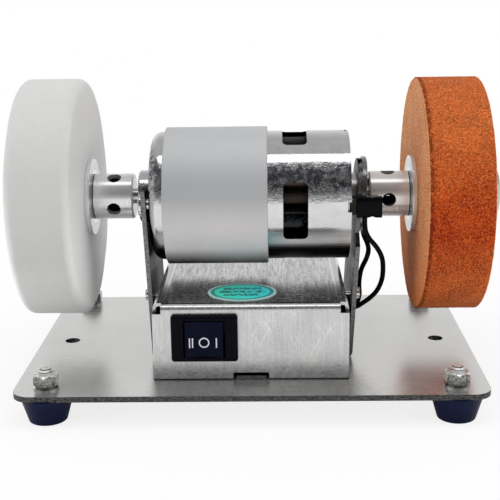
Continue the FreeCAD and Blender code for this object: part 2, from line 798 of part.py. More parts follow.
# side panels: the box screws, the notches over the bracket's web, and the leads' hole on the right
made = sketch(box, "YZ_Plane")
circle(made, cover_screw_y, cover_screw_z, cover_screw + screw_gap * 2)
rectangle(made, 0, 0, arm_depth + web_gap * 2, (bracket_thick + web_gap) * 2)
pocket(box, made, both_sides=True)
made = sketch(box, "YZ_Plane")
circle(made, wire_hole_y, wire_hole_z, wire_hole)
pocket(box, made, backwards=True)
keep(box)

arm_outside_left = left_arm_face(cover_screw_z)
arm_outside_right = right_arm_face(cover_screw_z)
box_inside = box_side - box_wall
cover_screws = []
cover_nuts = []
for name, side, face in (("left", -1, arm_outside_left), ("right", 1, arm_outside_right)):
    cover_screws.append(screw(f"cover_screw_{name}", cover_head, cover_head_tall, cover_screw,
                              face - box_inside + cover_nut_tall + small_screw_end,
                              x=(face + 0.2) * side, y=cover_screw_y, z=plate_top + cover_screw_z,
                              axis=Vector(0, 1, 0), angle=-90 * side))
    cover_nuts.append(nut(f"cover_nut_{name}", cover_nut, cover_screw + thread_gap * 2, cover_nut_tall,
                          x=box_inside * side, y=cover_screw_y, z=plate_top + cover_screw_z,
                          axis=Vector(0, 1, 0), angle=-90 * side))
keep(group("cover_screws", cover_screws), group("cover_nuts", cover_nuts))

ellipse = doc.addObject("Part::Ellipse", "label_outline")
ellipse.MajorRadius = label_long.value / 2
ellipse.MinorRadius = label_wide.value / 2
bind(ellipse, "MajorRadius", label_long / 2)
bind(ellipse, "MinorRadius", label_wide / 2)
place(ellipse, x=label_x, y=label_y, z=plate_top + box_tall)
label = doc.addObject("Part::Extrusion", "box_label")
label.Label = "box_label"
label.Base = ellipse
label.DirMode = "Normal"
label.LengthFwd = label_thick.value
bind(label, "LengthFwd", label_thick)
label.Solid = True
keep(label)


# ---- rocker switch --------------------------------------------------------------------------

switch_level = plate_top + switch_z
in_panel = dict(x=switch_x, y=box_front, z=switch_level)

housing = body("switch_housing", **in_panel)
made = sketch(housing, "XZ_Plane")
rectangle(made, 0, 0, bezel_wide, bezel_tall)
pad(housing, made, bezel_thick)
dress(housing, "Fillet", bezel_round, lambda edge: about(edge.CenterOfMass.y, -bezel_thick)
      or runs_along(edge, Vector(0, 1, 0)))
made = sketch(housing, "XZ_Plane")
rectangle(made, 0, 0, housing_wide, housing_tall)
pad(housing, made, housing_deep, backwards=True)
made = sketch(housing, "XZ_Plane", bezel_thick)
rectangle(made, 0, 0, opening_wide, opening_tall)
pocket(housing, made, bezel_thick + opening_deep)
made = sketch(housing, "XY_Plane")
circle(made, 0, 0, rocker_pin + pin_gap * 2)
pocket(housing, made, rocker_tall + pin_reach * 2 + pin_gap * 2, both_sides=True)
made = sketch(housing, "XZ_Plane", -(opening_deep - 1))
for step in (-1, 0, 1):
    rectangle(made, switch_blade_pitch * step, 0, blade_thick + blade_gap * 2, blade_wide + blade_gap * 2)
pocket(housing, made, backwards=False)
keep(housing)

rocker = body("switch_rocker", **in_panel)
made = sketch(rocker, "XY_Plane")
rocker_half = rocker_wide / 2
rocker_face = -(bezel_thick + rocker_proud)
outline(made, [(-rocker_half, rocker_face), (-rocker_half * 0.5, rocker_face + 0.45),
               (0, rocker_face + 0.6), (rocker_half * 0.5, rocker_face + 0.45),
               (rocker_half, rocker_face), (rocker_half * 0.92, 2.2), (rocker_half * 0.45, 4.2),
               (-rocker_half * 0.45, 4.2), (-rocker_half * 0.92, 2.2)])
pad(rocker, made, rocker_tall, both_sides=True)
dress(rocker, "Chamfer", 0.4, lambda edge: about(abs(edge.CenterOfMass.z), rocker_tall / 2)
      and edge.CenterOfMass.y < rocker_face.value + 0.6)
made = sketch(rocker, "XY_Plane")
circle(made, 0, 0, rocker_pin)
pad(rocker, made, rocker_tall + pin_reach * 2, both_sides=True)
keep(rocker)

blades = body("switch_terminals", **in_panel)
made = sketch(blades, "XZ_Plane", -(opening_deep + 0.6))
for step in (-1, 0, 1):
    rectangle(made, switch_blade_pitch * step, 0, blade_thick, blade_wide)
pad(blades, made, housing_deep - opening_deep - 0.6 + switch_blade_long, backwards=True)
made = sketch(blades, "YZ_Plane")
circle(made, housing_deep + switch_blade_long * 0.6, 0, blade_wide * 0.38)
pocket(blades, made, both_sides=True)
keep(blades)


# ---- power inlet ----------------------------------------------------------------------------

inlet = body("inlet_jack", x=inlet_x, y=-box_front, z=plate_top + inlet_z, axis=Vector(0, 0, 1), angle=90)
inlet_back = -inlet_deep
turned(inlet,
       [(inlet_back, 0), (inlet_back, inlet_barrel / 2), (0, inlet_barrel / 2), (0, inlet_flange / 2),
        (inlet_flange_thick, inlet_flange / 2), (inlet_flange_thick, inlet_socket / 2),
        (inlet_back + 2, inlet_socket / 2), (inlet_back + 2, inlet_pin / 2),
        (inlet_flange_thick - 1.5, inlet_pin / 2), (inlet_flange_thick - 1.5, 0)])
dress(inlet, "Fillet", 0.5, lambda edge: rim(edge, inlet_flange_thick, inlet_flange / 2))
keep(inlet)

inlet_nut = nut("inlet_nut", inlet_nut_wide, inlet_barrel + thread_gap * 2, inlet_nut_tall,
                x=inlet_x, y=-box_front - box_wall, z=plate_top + inlet_z,
                axis=Vector(1, 0, 0), angle=90)
keep(inlet_nut)

inlet_tags = body("inlet_tags", x=inlet_x, y=-box_front - inlet_deep, z=plate_top + inlet_z)
made = sketch(inlet_tags, "XZ_Plane")
for side in (-1, 1):
    rectangle(made, tag_apart / 2 * side, 0, tag_thick, tag_wide)
pad(inlet_tags, made, tag_long)
keep(inlet_tags)


# ---- motor: what stands still ---------------------------------------------------------------

can_front = -motor_reach
boss_front = can_front - front_boss_long
can = body("motor_can", z=shaft_level)
front_seat = front_bearing_wide / 2 + seat_gap
turned(can, [
    (boss_front, shaft_hole / 2), (boss_front, front_boss / 2), (can_front, front_boss / 2),
    (can_front, motor_radius), (motor_end, motor_radius), (motor_end, can_inside),
    (can_front + can_wall, can_inside), (can_front + can_wall, front_seat),
    (boss_front + boss_lip, front_seat), (boss_front + boss_lip, shaft_hole / 2)])
dress(can, "Fillet", can_round, lambda edge: rim(edge, can_front, motor_radius))
dress(can, "Fillet", 0.6, lambda edge: rim(edge, boss_front, front_boss / 2))
vent_middle = vent_start + vent_long / 2
for plane in ("XZ_Plane", "XY_Plane"):
    made = sketch(can, plane)
    made.AttachmentOffset = Placement(Vector(), Rotation(Vector(1, 0, 0), vent_turn.value))
    bind(made, "AttachmentOffset.Rotation.Angle", vent_turn)
    rectangle(made, vent_middle, 0, vent_long, vent_tall)
    pocket(can, made, both_sides=True)
dress(can, "Fillet", vent_round, lambda edge: edge.Length < can_wall.value * 1.6
      and edge.Curve.TypeId == "Part::GeomLine"
      and abs(edge.CenterOfMass.x - vent_middle.value) < vent_long.value)
made = sketch(can, "YZ_Plane")
for side in (-1, 1):
    circle(made, motor_screw_pitch / 2 * side, 0, large_screw + thread_gap * 2)
pocket(can, made)
made = sketch(can, "XY_Plane")
rectangle(made, motor_end, 0, crimp_long * 2, crimp_wide)
crimp = pocket(can, made, backwards=True)
pattern(can, [crimp], "X_Axis", 4)
keep(can)

ring = body("flux_ring", z=shaft_level)
ring_inside = motor_radius + seat_gap
ring_outside = ring_inside + ring_thick
ring_end = ring_start + ring_long
turned(ring, [(ring_start, ring_inside), (ring_end, ring_inside), (ring_end, ring_outside),
              (ring_start, ring_outside)])
dress(ring, "Fillet", 0.35, lambda edge: rim(edge, ring_start, ring_outside)
      or rim(edge, ring_end, ring_outside))
made = sketch(ring, "XY_Plane")
rectangle(made, ring_start + ring_long / 2, 0, ring_long + 2, ring_split)
pocket(ring, made)
keep(ring)

magnets = body("field_magnets", z=shaft_level)
magnet_outside = can_inside - seat_gap
magnet_inside = magnet_outside - magnet_thick
magnet_end = magnet_start + magnet_long
upper = turned(magnets, [(magnet_start, magnet_inside), (magnet_end, magnet_inside),
                         (magnet_end, magnet_outside), (magnet_start, magnet_outside)],
               angle=magnet_span)
image = magnets.newObject("PartDesign::Mirrored", "magnet_image")
image.Originals = [upper]
image.MirrorPlane = ([part for part in magnets.Origin.OriginFeatures if part.Role == "XY_Plane"][0], [""])
magnets.Tip = image
keep(magnets)

cap = body("motor_end_cap", z=shaft_level)
rear_seat = rear_bearing_wide / 2 + seat_gap
rear_boss_end = cap_rear + rear_boss_long
cap_edge = can_inside - seat_gap
turned(cap, [
    (cap_front, rear_seat), (cap_front, cap_edge), (cap_rear, cap_edge), (cap_rear, rear_boss / 2),
    (rear_boss_end, rear_boss / 2), (rear_boss_end, shaft_wide / 2 + 1),
    (rear_boss_end - boss_lip, shaft_wide / 2 + 1), (rear_boss_end - boss_lip, rear_seat)])
dress(cap, "Fillet", 0.5, lambda edge: rim(edge, rear_boss_end, rear_boss / 2))
holder_half = brush_wide / 2 + holder_wall
holder_back = brush_x + holder_half
post_low = commutator_wide / 2 + 1.4
made = sketch(cap, "YZ_Plane", holder_back)
for side in (-1, 1):
    rectangle(made, 0, (post_low + holder_reach) / 2 * side, brush_wide, holder_reach - post_low)
pad(cap, made, cap_front - holder_back + 0.2)
made = sketch(cap, "YZ_Plane", cap_front - 1)
for side in (-1, 1):
    rectangle(made, terminal_y * side, terminal_z, blade_thick + blade_gap * 2, blade_wide + blade_gap * 2)
pocket(cap, made, backwards=True)
keep(cap)


def ball_bearing(label, start, wide):
    """A shielded bearing: two races, and a shield set back from both faces."""
    piece = body(label, z=shaft_level)
    end = start + bearing_long
    bore, edge = shaft_wide / 2 + shaft_gap, wide / 2
    inner_race, outer_race = bore + 1.1, edge - 1.1
    shield_start, shield_end = start + 0.4, end - 0.4
    turned(piece, [(start, bore), (start, inner_race), (shield_start, inner_race),
                   (shield_start, outer_race), (start, outer_race), (start, edge), (end, edge),
                   (end, outer_race), (shield_end, outer_race), (shield_end, inner_race),
                   (end, inner_race), (end, bore)])
    keep(piece)


ball_bearing("front_bearing", boss_front + boss_lip, front_bearing_wide)
ball_bearing("rear_bearing", rear_boss_end - boss_lip - bearing_long, rear_bearing_wide)

holder_low = commutator_wide / 2 + 1
holder_wide = brush_wide + holder_wall * 2
holder = body("brush_holder_one", z=shaft_level)
made = sketch(holder, "XY_Plane", holder_low)
rectangle(made, brush_x, 0, holder_wide, holder_wide)
pad(holder, made, holder_reach - holder_low)
made = sketch(holder, "XY_Plane", holder_low)
rectangle(made, brush_x, 0, brush_wide + blade_gap * 2, brush_wide + blade_gap * 2)
pocket(holder, made, holder_reach - holder_low - holder_wall, backwards=True)
keep(on_both_sides("brush_holders", holder, Vector(0, 0, 1)))

brush_low = commutator_wide / 2 + brush_gap
brush = body("carbon_brush_one", z=shaft_level)
made = sketch(brush, "XY_Plane", brush_low)
rectangle(made, brush_x, 0, brush_wide, brush_wide)
pad(brush, made, brush_long)
keep(on_both_sides("carbon_brushes", brush, Vector(0, 0, 1)))

spring_low = brush_low + brush_long + spring_wire / 2 + 0.05
spring_high = holder_reach - holder_wall - spring_wire / 2 - 0.05
spring = body("brush_spring_one", x=brush_x, z=shaft_level + spring_low)
made = sketch(spring, "XZ_Plane")
circle(made, spring_wide / 2 - spring_wire / 2, 0, spring_wire)
coil = spring.newObject("PartDesign::AdditiveHelix", "brush_spring_coil")
coil.Profile = made
coil.ReferenceAxis = (made, ["V_Axis"])
coil.Mode = "height-turns-angle"
coil.Turns = spring_turns
spring_space = spring_high - spring_low
coil.Height = spring_space.value
bind(coil, "Height", spring_space)
spring.Tip = coil
keep(on_both_sides("brush_springs", spring, Vector(0, 0, 1)))

terminals = body("motor_terminals", z=shaft_level)
made = sketch(terminals, "YZ_Plane", cap_front)
for side in (-1, 1):
    rectangle(made, terminal_y * side, terminal_z, blade_thick, blade_wide)
pad(terminals, made, cap_rear - cap_front + terminal_long)
keep(terminals)

sleeves = body("heat_shrink_sleeves", z=shaft_level)
sleeve_middle = terminal_z
made = sketch(sleeves, "YZ_Plane", sleeve_start)
for side in (-1, 1):
    rectangle(made, terminal_y * side, sleeve_middle, sleeve_thick, sleeve_tall)
pad(sleeves, made, sleeve_long)
dress(sleeves, "Fillet", 0.9, lambda edge: runs_along(edge, Vector(1, 0, 0))
      or about(edge.CenterOfMass.x, sleeve_start + sleeve_long))
made = sketch(sleeves, "YZ_Plane", sleeve_start)
for side in (-1, 1):
    rectangle(made, terminal_y * side, sleeve_middle, blade_thick + blade_gap * 2,
              blade_wide + blade_gap * 2)
pocket(sleeves, made, cap_rear + terminal_long + 0.3 - sleeve_start, backwards=True)
lead_x = sleeve_start + 2.8
lead_top = terminal_z - blade_wide / 2 - 0.1
made = sketch(sleeves, "XY_Plane", lead_top)
for side in (-1, 1):
    circle(made, lead_x, terminal_y * side, lead_wide + blade_gap * 2)
pocket(sleeves, made)
keep(sleeves)

motor_screws = []
arm_at_shaft = left_arm_face(shaft_above_plate)
for name, side in (("front", -1), ("rear", 1)):
    motor_screws.append(screw(f"motor_screw_{name}", large_head, motor_head_tall, large_screw,
                              arm_at_shaft - motor_reach + can_wall + 0.8,
                              x=-arm_at_shaft - 0.1, y=motor_screw_pitch / 2 * side, z=shaft_level,
                              axis=Vector(0, 1, 0), angle=90))
keep(group("motor_screws", motor_screws))


# ---- motor: what turns ----------------------------------------------------------------------

shaft_radius = shaft_wide / 2
shaft_end = hub_start + arbor_bore_deep - 1
shaft = body("motor_shaft", z=shaft_level)
turned(shaft, [(-shaft_end, 0), (-shaft_end, shaft_radius), (shaft_end, shaft_radius), (shaft_end, 0)])
dress(shaft, "Chamfer", 0.4, lambda edge: rim(edge, shaft_end, shaft_radius)
      or rim(edge, -shaft_end, shaft_radius))
keep(shaft)

core_bore = shaft_wide + shaft_gap * 2
core_wide = (magnet_inside - air_gap) * 2
core = body("armature_core", z=shaft_level)
made = sketch(core, "YZ_Plane", core_start)
circle(made, 0, 0, core_wide)
circle(made, 0, 0, core_bore)
pad(core, made, core_long)
made = sketch(core, "YZ_Plane", core_start)
outline(made, [(-1.2, core_wide / 2 + 1), (-1.2, core_wide / 2 - 1.6), (-4.4, core_wide / 2 - 2.8),
               (-2.2, core_wide / 2 - 8), (2.2, core_wide / 2 - 8), (4.4, core_wide / 2 - 2.8),
               (1.2, core_wide / 2 - 1.6), (1.2, core_wide / 2 + 1)])
core_slot = pocket(core, made, core_long + 1, backwards=True)
pattern(core, [core_slot], "X_Axis", core_slots)
keep(core)

windings = body("armature_windings", z=shaft_level)
core_end = core_start + core_long
winding_bore = shaft_radius + winding_gap
winding_radius = winding_wide / 2
front_end = core_start - winding_gap
rear_end = core_end + winding_gap
turned(windings,
       [(front_end, winding_bore), (front_end, winding_radius),
        (front_end - front_winding_long + 1.5, winding_radius),
        (front_end - front_winding_long, winding_radius - 2.5),
        (front_end - front_winding_long, winding_bore)],
       [(rear_end, winding_bore), (rear_end, winding_radius),
        (rear_end + rear_winding_long - 1.5, winding_radius),
        (rear_end + rear_winding_long, winding_radius - 2.5),
        (rear_end + rear_winding_long, winding_bore)])
keep(windings)

commutator = body("commutator", z=shaft_level)
made = sketch(commutator, "YZ_Plane", commutator_start)
circle(made, 0, 0, commutator_wide)
circle(made, 0, 0, core_bore)
pad(commutator, made, commutator_long)
made = sketch(commutator, "YZ_Plane", commutator_start)
rectangle(made, 0, commutator_wide / 2, 0.5, 1.4)
first_gap = pocket(commutator, made, commutator_long + 1, backwards=True)
pattern(commutator, [first_gap], "X_Axis", commutator_bars)
keep(commutator)


# ---- arbors and wheels ----------------------------------------------------------------------

hub_radius = hub_wide / 2
arbor_radius = arbor_wide / 2
arbor_tip = arbor_nut_end + arbor_end
set_screw_low = shaft_radius + 0.1


def arbor(side, name, turn):
    """A hub with its flange and arbor, and the two set screws that grip the shaft."""
    hub = body(f"{name}_hub", z=shaft_level, axis=Vector(1, 0, 0), angle=turn)
    bore = shaft_radius + shaft_gap
    turned(hub, [(hub_start * side, bore), (hub_start * side, hub_radius),
                 ((wheel_start - flange_thick) * side, hub_radius),
                 ((wheel_start - flange_thick) * side, flange_wide / 2),
                 (wheel_start * side, flange_wide / 2), (wheel_start * side, arbor_radius),
                 (arbor_tip * side, arbor_radius), (arbor_tip * side, 0),
                 ((hub_start + arbor_bore_deep) * side, 0), ((hub_start + arbor_bore_deep) * side, bore)])
    dress(hub, "Chamfer", 0.5, lambda edge: rim(edge, hub_start * side, hub_radius)
          or rim(edge, arbor_tip * side, arbor_radius))
    dress(hub, "Fillet", 0.3, lambda edge: rim(edge, wheel_start * side, flange_wide / 2)
          or rim(edge, (wheel_start - flange_thick) * side, flange_wide / 2))
    made = sketch(hub, "XY_Plane")
    circle(made, set_screw_x * side, 0, set_screw + thread_gap * 2)
    hole = pocket(hub, made, backwards=True)
    pattern(hub, [hole], "X_Axis", 2, 90)
    keep(hub)
    screws = body(f"{name}_set_screws", z=shaft_level, axis=Vector(1, 0, 0), angle=turn)
    made = sketch(screws, "XY_Plane", set_screw_low)
    circle(made, set_screw_x * side, 0, set_screw)
    hexagon(made, set_screw_x * side, 0, set_screw * 0.5)
    grub = pad(screws, made, set_screw_long)
    pattern(screws, [grub], "X_Axis", 2, 90)
    keep(screws)


arbor(-1, "left", left_screw_turn)
arbor(1, "right", right_screw_turn)


def wheel(label, side, wide):
    piece = body(label, z=shaft_level)
    bore = arbor_radius + wheel_bore_gap
    turned(piece, [(wheel_start * side, bore), (wheel_start * side, wide / 2),
                   (wheel_end * side, wide / 2), (wheel_end * side, bore)])
    keep(piece)
    return piece


felt = wheel("white_felt_wheel", -1, felt_wide)
dress(felt, "Fillet", felt_round, lambda edge: rim(edge, -wheel_start, felt_wide / 2)
      or rim(edge, -wheel_end, felt_wide / 2))
stone = wheel("orange_abrasive_wheel", 1, stone_wide)
dress(stone, "Chamfer", stone_chamfer, lambda edge: rim(edge, wheel_start, stone_wide / 2)
      or rim(edge, wheel_end, stone_wide / 2))

clamp = body("clamp_washer_one", z=shaft_level)
clamp_bore = arbor_radius + wheel_bore_gap
turned(clamp, [(wheel_end, clamp_bore), (wheel_end, clamp_wide / 2), (clamp_end, clamp_wide / 2),
               (clamp_end, clamp_bore)])
dress(clamp, "Fillet", 0.4, lambda edge: rim(edge, clamp_end, clamp_wide / 2))
keep(on_both_sides("clamp_washers", clamp, Vector(1, 0, 0)))

arbor_nut_one = nut("arbor_nut_one", arbor_nut, arbor_wide + thread_gap * 2, arbor_nut_tall,
                    x=clamp_end, z=shaft_level, axis=Vector(0, 1, 0), angle=90)
keep(on_both_sides("arbor_nuts", arbor_nut_one, Vector(1, 0, 0)))


# ---- leads ----------------------------------------------------------------------------------

arm_at_wires = right_arm_face(wire_hole_z)
grommet = body("wire_grommet", x=arm_at_wires - bracket_thick / 2, y=wire_hole_y,
               z=plate_top + wire_hole_z, axis=Vector(0, 1, 0), angle=right_lean)
groove = bracket_thick / 2 + 0.1
neck = wire_hole / 2 - 0.1
brim = wire_hole / 2 + 1
opening = lead_wide + 1.3
turned(grommet, [(-groove - grommet_lip * 0.4, opening), (-groove - grommet_lip * 0.4, brim),
                 (-groove, brim), (-groove, neck), (groove, neck), (groove, brim),
                 (groove + grommet_lip, brim), (groove + grommet_lip, opening)])
keep(grommet)

level = shaft_level.value
wires_in = plate_top.value + wire_hole_z.value
wires_y = wire_hole_y.value
wires_x = arm_at_wires.value
beside = lead_wide.value / 2 + lead_gap.value
lead_start = level + lead_top.value
blade_tip_y = box_front.value + housing_deep.value + switch_blade_long.value
switch_wires = plate_top.value + switch_z.value
tag_y = -box_front.value - inlet_deep.value - tag_long.value
tag_z = plate_top.value + inlet_z.value

keep(tube("motor_lead_front", [
    (lead_x.value, -terminal_y.value, lead_start),
    (lead_x.value, -terminal_y.value, level - 8.6),
    (lead_x.value + 2.2, -terminal_y.value, level - 12.4),
    (lead_x.value + 4.6, -terminal_y.value + 0.4, level - 16),
    (lead_x.value + 6, -terminal_y.value + 1.6, level - 20.6),
    (lead_x.value + 6.1, -terminal_y.value + 3.2, level - 25),
    (lead_x.value + 5.3, -terminal_y.value + 5, level - 29.5),
    (lead_x.value + 3.4, -terminal_y.value + 7.2, level - 33.6),
    (lead_x.value + 0.9, -terminal_y.value + 9.2, level - 36.6),
    (wires_x + 1.4, wires_y - beside, wires_in + 0.3),
    (wires_x - 3.4, wires_y - beside, wires_in),
    (wires_x - 9, wires_y - beside - 1.5, wires_in - 0.2),
    (15, wires_y - 5, wires_in + 0.2),
    (5, wires_y - 3.4, wires_in + 0.6),
    (-4, wires_y - 2.6, wires_in + 1),
    (switch_x.value + switch_blade_pitch.value + 0.2, wires_y - 5.6, switch_wires - 0.2),
    (switch_x.value + switch_blade_pitch.value, blade_tip_y + 0.1, switch_wires)],
    lead_wide.value))

keep(tube("motor_lead_rear", [
    (lead_x.value, terminal_y.value, lead_start),
    (lead_x.value, terminal_y.value, level - 7.4),
    (lead_x.value + 0.8, terminal_y.value - 3, level - 11.6),
    (lead_x.value + 1.1, terminal_y.value - 9.5, level - 13.8),
    (lead_x.value + 1.1, terminal_y.value - 16, level - 14.4),
    (lead_x.value + 1.7, terminal_y.value - 20.2, level - 15.2),
    (lead_x.value + 2.2, terminal_y.value - 22.8, level - 17.6),
    (lead_x.value + 2.1, terminal_y.value - 23.4, level - 21),
    (lead_x.value + 1.2, terminal_y.value - 23, level - 24.4),
    (lead_x.value, terminal_y.value - 21.8, level - 27.6),
    (lead_x.value - 0.3, terminal_y.value - 20, level - 30.2),
    (lead_x.value - 0.1, terminal_y.value - 18.7, level - 33.2),
    (wires_x + 1.7, wires_y + beside, wires_in + 0.5),
    (wires_x - 3.2, wires_y + beside, wires_in),
    (wires_x - 9, wires_y + beside + 2, wires_in),
    (20, wires_y + 9, wires_in - 0.4),
    (inlet_x.value + 2.8, tag_y - 9, tag_z + 0.3),
    (inlet_x.value + 2.5, tag_y - 0.1, tag_z)],
    lead_wide.value))

keep(tube("inlet_lead", [
    (inlet_x.value - 2.5, tag_y - 0.1, tag_z),
    (inlet_x.value - 2.8, tag_y - 7, tag_z + 0.4),
    (inlet_x.value - 7, tag_y - 16, tag_z + 1),
    (-2, tag_y - 22, tag_z + 1.4),
    (-9.5, tag_y - 25.9, tag_z + 1.6),
    (switch_x.value, blade_tip_y + 8.4, switch_wires - 0.3),
    (switch_x.value, blade_tip_y + 0.1, switch_wires)],
    lead_wide.value))


# ---- check and write ------------------------------------------------------------------------

doc.recompute()
for thing in doc.Objects:
    if "Invalid" in thing.State or "Error" in thing.State:
        raise RuntimeError(f"{thing.Name} failed: {thing.State}")
for node in nodes:
    if node.Shape.isNull() or not node.Shape.isValid():
        raise RuntimeError(f"{node.Label} has no valid shape")

os.makedirs("parts", exist_ok=True)
for node in nodes:
    node.Shape.exportStep(f"parts/{node.Label}.step")
    bounds = node.Shape.BoundBox
    print(f"{node.Label}: {len(node.Shape.Solids)} solids, volume {node.Shape.Volume:.1f}, "
          f"x {bounds.XMin:.1f}..{bounds.XMax:.1f}, y {bounds.YMin:.1f}..{bounds.YMax:.1f}, "
          f"z {bounds.ZMin:.1f}..{bounds.ZMax:.1f}")
print(len(nodes), "nodes")
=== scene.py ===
# %% [markdown]
# # A small twin-wheel sharpener with its motor on show
# A bright steel plate on four rubber feet carries a bent bracket, a motor that lies in it, a switch
# box under the motor, and a wheel on each end of the shaft: soft white felt on the left, orange stone
# on the right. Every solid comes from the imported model, so this lesson finds the places from there. It
# then gives each part its finish, and models anew the parts that a plain solid cannot show.

# %% Load the frame
import math

import bmesh
import bpy
from mathutils import Matrix, Vector, noise


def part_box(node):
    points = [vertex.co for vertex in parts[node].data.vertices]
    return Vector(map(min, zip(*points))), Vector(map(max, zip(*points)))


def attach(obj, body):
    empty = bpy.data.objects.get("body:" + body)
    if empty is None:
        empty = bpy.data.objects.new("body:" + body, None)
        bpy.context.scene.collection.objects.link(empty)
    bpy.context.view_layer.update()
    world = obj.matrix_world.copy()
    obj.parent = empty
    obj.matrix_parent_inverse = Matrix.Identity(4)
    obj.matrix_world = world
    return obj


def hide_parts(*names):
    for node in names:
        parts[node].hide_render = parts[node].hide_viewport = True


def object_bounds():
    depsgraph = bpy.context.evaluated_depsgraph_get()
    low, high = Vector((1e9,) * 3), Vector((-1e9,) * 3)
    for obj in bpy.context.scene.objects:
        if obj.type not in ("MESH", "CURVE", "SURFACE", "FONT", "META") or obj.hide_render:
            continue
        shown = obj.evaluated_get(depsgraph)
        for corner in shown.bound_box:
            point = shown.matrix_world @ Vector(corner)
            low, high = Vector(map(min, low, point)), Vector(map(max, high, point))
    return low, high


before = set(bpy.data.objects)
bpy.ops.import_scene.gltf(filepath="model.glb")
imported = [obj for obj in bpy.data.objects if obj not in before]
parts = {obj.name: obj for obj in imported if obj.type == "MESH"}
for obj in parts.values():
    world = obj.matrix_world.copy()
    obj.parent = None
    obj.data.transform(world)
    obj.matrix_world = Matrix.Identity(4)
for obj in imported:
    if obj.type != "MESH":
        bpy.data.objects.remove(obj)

MM = 1000  # millimetres in a metre
solid_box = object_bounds()

# %% [markdown]
# The camera stands a third of a metre in front, a little above the motor, and looks down by about
# 15 degrees with a long lens, so the two wheels keep their size. It leans by under a degree, as a
# hand-held camera does. Its own axes are worked out from the three angles: its right side, its top and
# the way back from where it looks are the columns of its matrix.

# %% Camera
CAMERA_PLACE = Vector((0.00704, -0.33964, 0.13085))
CAMERA_YAW = math.radians(1.30)
CAMERA_PITCH = math.radians(14.71)
CAMERA_ROLL = math.radians(-0.85)
LENS_LENGTH = 75.6
SENSOR_WIDTH = 36

camera_data = bpy.data.cameras.new("studio_camera")
camera_data.lens = LENS_LENGTH
camera_data.sensor_width = SENSOR_WIDTH
camera_data.clip_start = 0.01
camera_data.clip_end = 50
camera = bpy.data.objects.new("studio_camera", camera_data)
ahead = Vector((-math.sin(CAMERA_YAW) * math.cos(CAMERA_PITCH),
                math.cos(CAMERA_YAW) * math.cos(CAMERA_PITCH), -math.sin(CAMERA_PITCH)))
level_right = ahead.cross(Vector((0, 0, 1))).normalized()
level_up = level_right.cross(ahead)
tilted_right = level_right * math.cos(CAMERA_ROLL) + level_up * math.sin(CAMERA_ROLL)
tilted_up = level_up * math.cos(CAMERA_ROLL) - level_right * math.sin(CAMERA_ROLL)
camera.matrix_world = Matrix.Translation(CAMERA_PLACE) @ Matrix(
    (tilted_right, tilted_up, -ahead)).transposed().to_4x4()
bpy.context.scene.collection.objects.link(camera)
bpy.context.scene.camera = camera
print("camera at", [round(value, 4) for value in CAMERA_PLACE])
print("looking along", [round(value, 3) for value in ahead])

# %% [markdown]
# Three insulated leads run from the motor's two blades and the power inlet to the switch. Stiff thin wire
# takes one smooth line between the places that hold it, so each lead is a NURBS curve: the route's points
# pull on the line without making corners. The order comes after the points, because a curve only accepts
# an order that its number of points allows. The wire's radius sits on the points and the bevel is one
# metre deep, so that the curve's own box is as slim as the wire.

# %% Leads
LEAD_THICK = 0.0016


def lead(name, route, *stands_for):
    """A round insulated wire along a route, riding on the frame."""
    data = bpy.data.curves.new(name, "CURVE")
    data.dimensions = "3D"
    data.bevel_depth = 1.0
    data.bevel_resolution = 5
    data.resolution_u = 10
    data.use_fill_caps = True
    line = data.splines.new("NURBS")
    line.points.add(len(route) - 1)
    for point, place in zip(line.points, route):
        point.co = (*place, 1)
        point.radius = LEAD_THICK / 2
    line.order_u = 3
    line.use_endpoint_u = True
    wire = bpy.data.objects.new(name, data)
    bpy.context.scene.collection.objects.link(wire)
    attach(wire, "frame")
    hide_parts(*stands_for)
    print(name, "through", len(route), "points")
    return wire


front_lead = lead("front_motor_wire", [
    (0.0362, -0.0152, 0.0569), (0.0360, -0.0152, 0.0527), (0.0373, -0.0152, 0.0493),
    (0.0400, -0.0150, 0.0464), (0.0420, -0.0144, 0.0427), (0.0425, -0.0130, 0.0386),
    (0.0424, -0.0114, 0.0342), (0.0410, -0.0094, 0.0298), (0.0387, -0.0072, 0.0266),
    (0.0364, -0.0056, 0.0244), (0.03454, -0.00495, 0.0229), (0.02974, -0.00495, 0.0226),
    (0.02414, -0.00645, 0.0224), (0.0150, -0.0090, 0.0228), (0.0050, -0.0074, 0.0232),
    (-0.0040, -0.0066, 0.0236), (-0.0084, -0.0096, 0.0237), (-0.0086, -0.0168, 0.0239)], "motor_lead_front")
rear_lead = lead("rear_motor_wire", [
    (0.0362, 0.0152, 0.0569), (0.0362, 0.0152, 0.0531), (0.0370, 0.0122, 0.0489),
    (0.0373, 0.0057, 0.0467), (0.0373, -0.0008, 0.0461), (0.0379, -0.0050, 0.0453),
    (0.0383, -0.0078, 0.0436), (0.0376, -0.0080, 0.0406), (0.0360, -0.0068, 0.0370),
    (0.0355, -0.0054, 0.0332), (0.0355, -0.0044, 0.0300), (0.0359, -0.0035, 0.0269),
    (0.03484, -0.00305, 0.0231), (0.02994, -0.00305, 0.0226), (0.02414, -0.00105, 0.0226),
    (0.0200, 0.0050, 0.0222), (0.0168, 0.0124, 0.0224), (0.0165, 0.0213, 0.0221)], "motor_lead_rear")
supply_lead = lead("inlet_wire", [
    (0.0115, 0.0213, 0.0221), (0.0112, 0.0144, 0.0225), (0.0070, 0.0054, 0.0231),
    (-0.0020, -0.0006, 0.0235), (-0.0095, -0.0045, 0.0237), (-0.0141, -0.0085, 0.0236),
    (-0.0141, -0.0168, 0.0239)], "inlet_lead")

# %% [markdown]
# Finishes are built from nodes. Writing each node and link by hand hides the idea, so two small classes
# do it. A `Value` wraps one output socket: adding or multiplying two of them adds a Math node. A `Finish`
# wraps one material and has a single method for every other node, which takes the node's type, its
# settings, and what goes into its sockets. The settings go first because some of them change the
# sockets. Distances inside a finish are in millimetres.

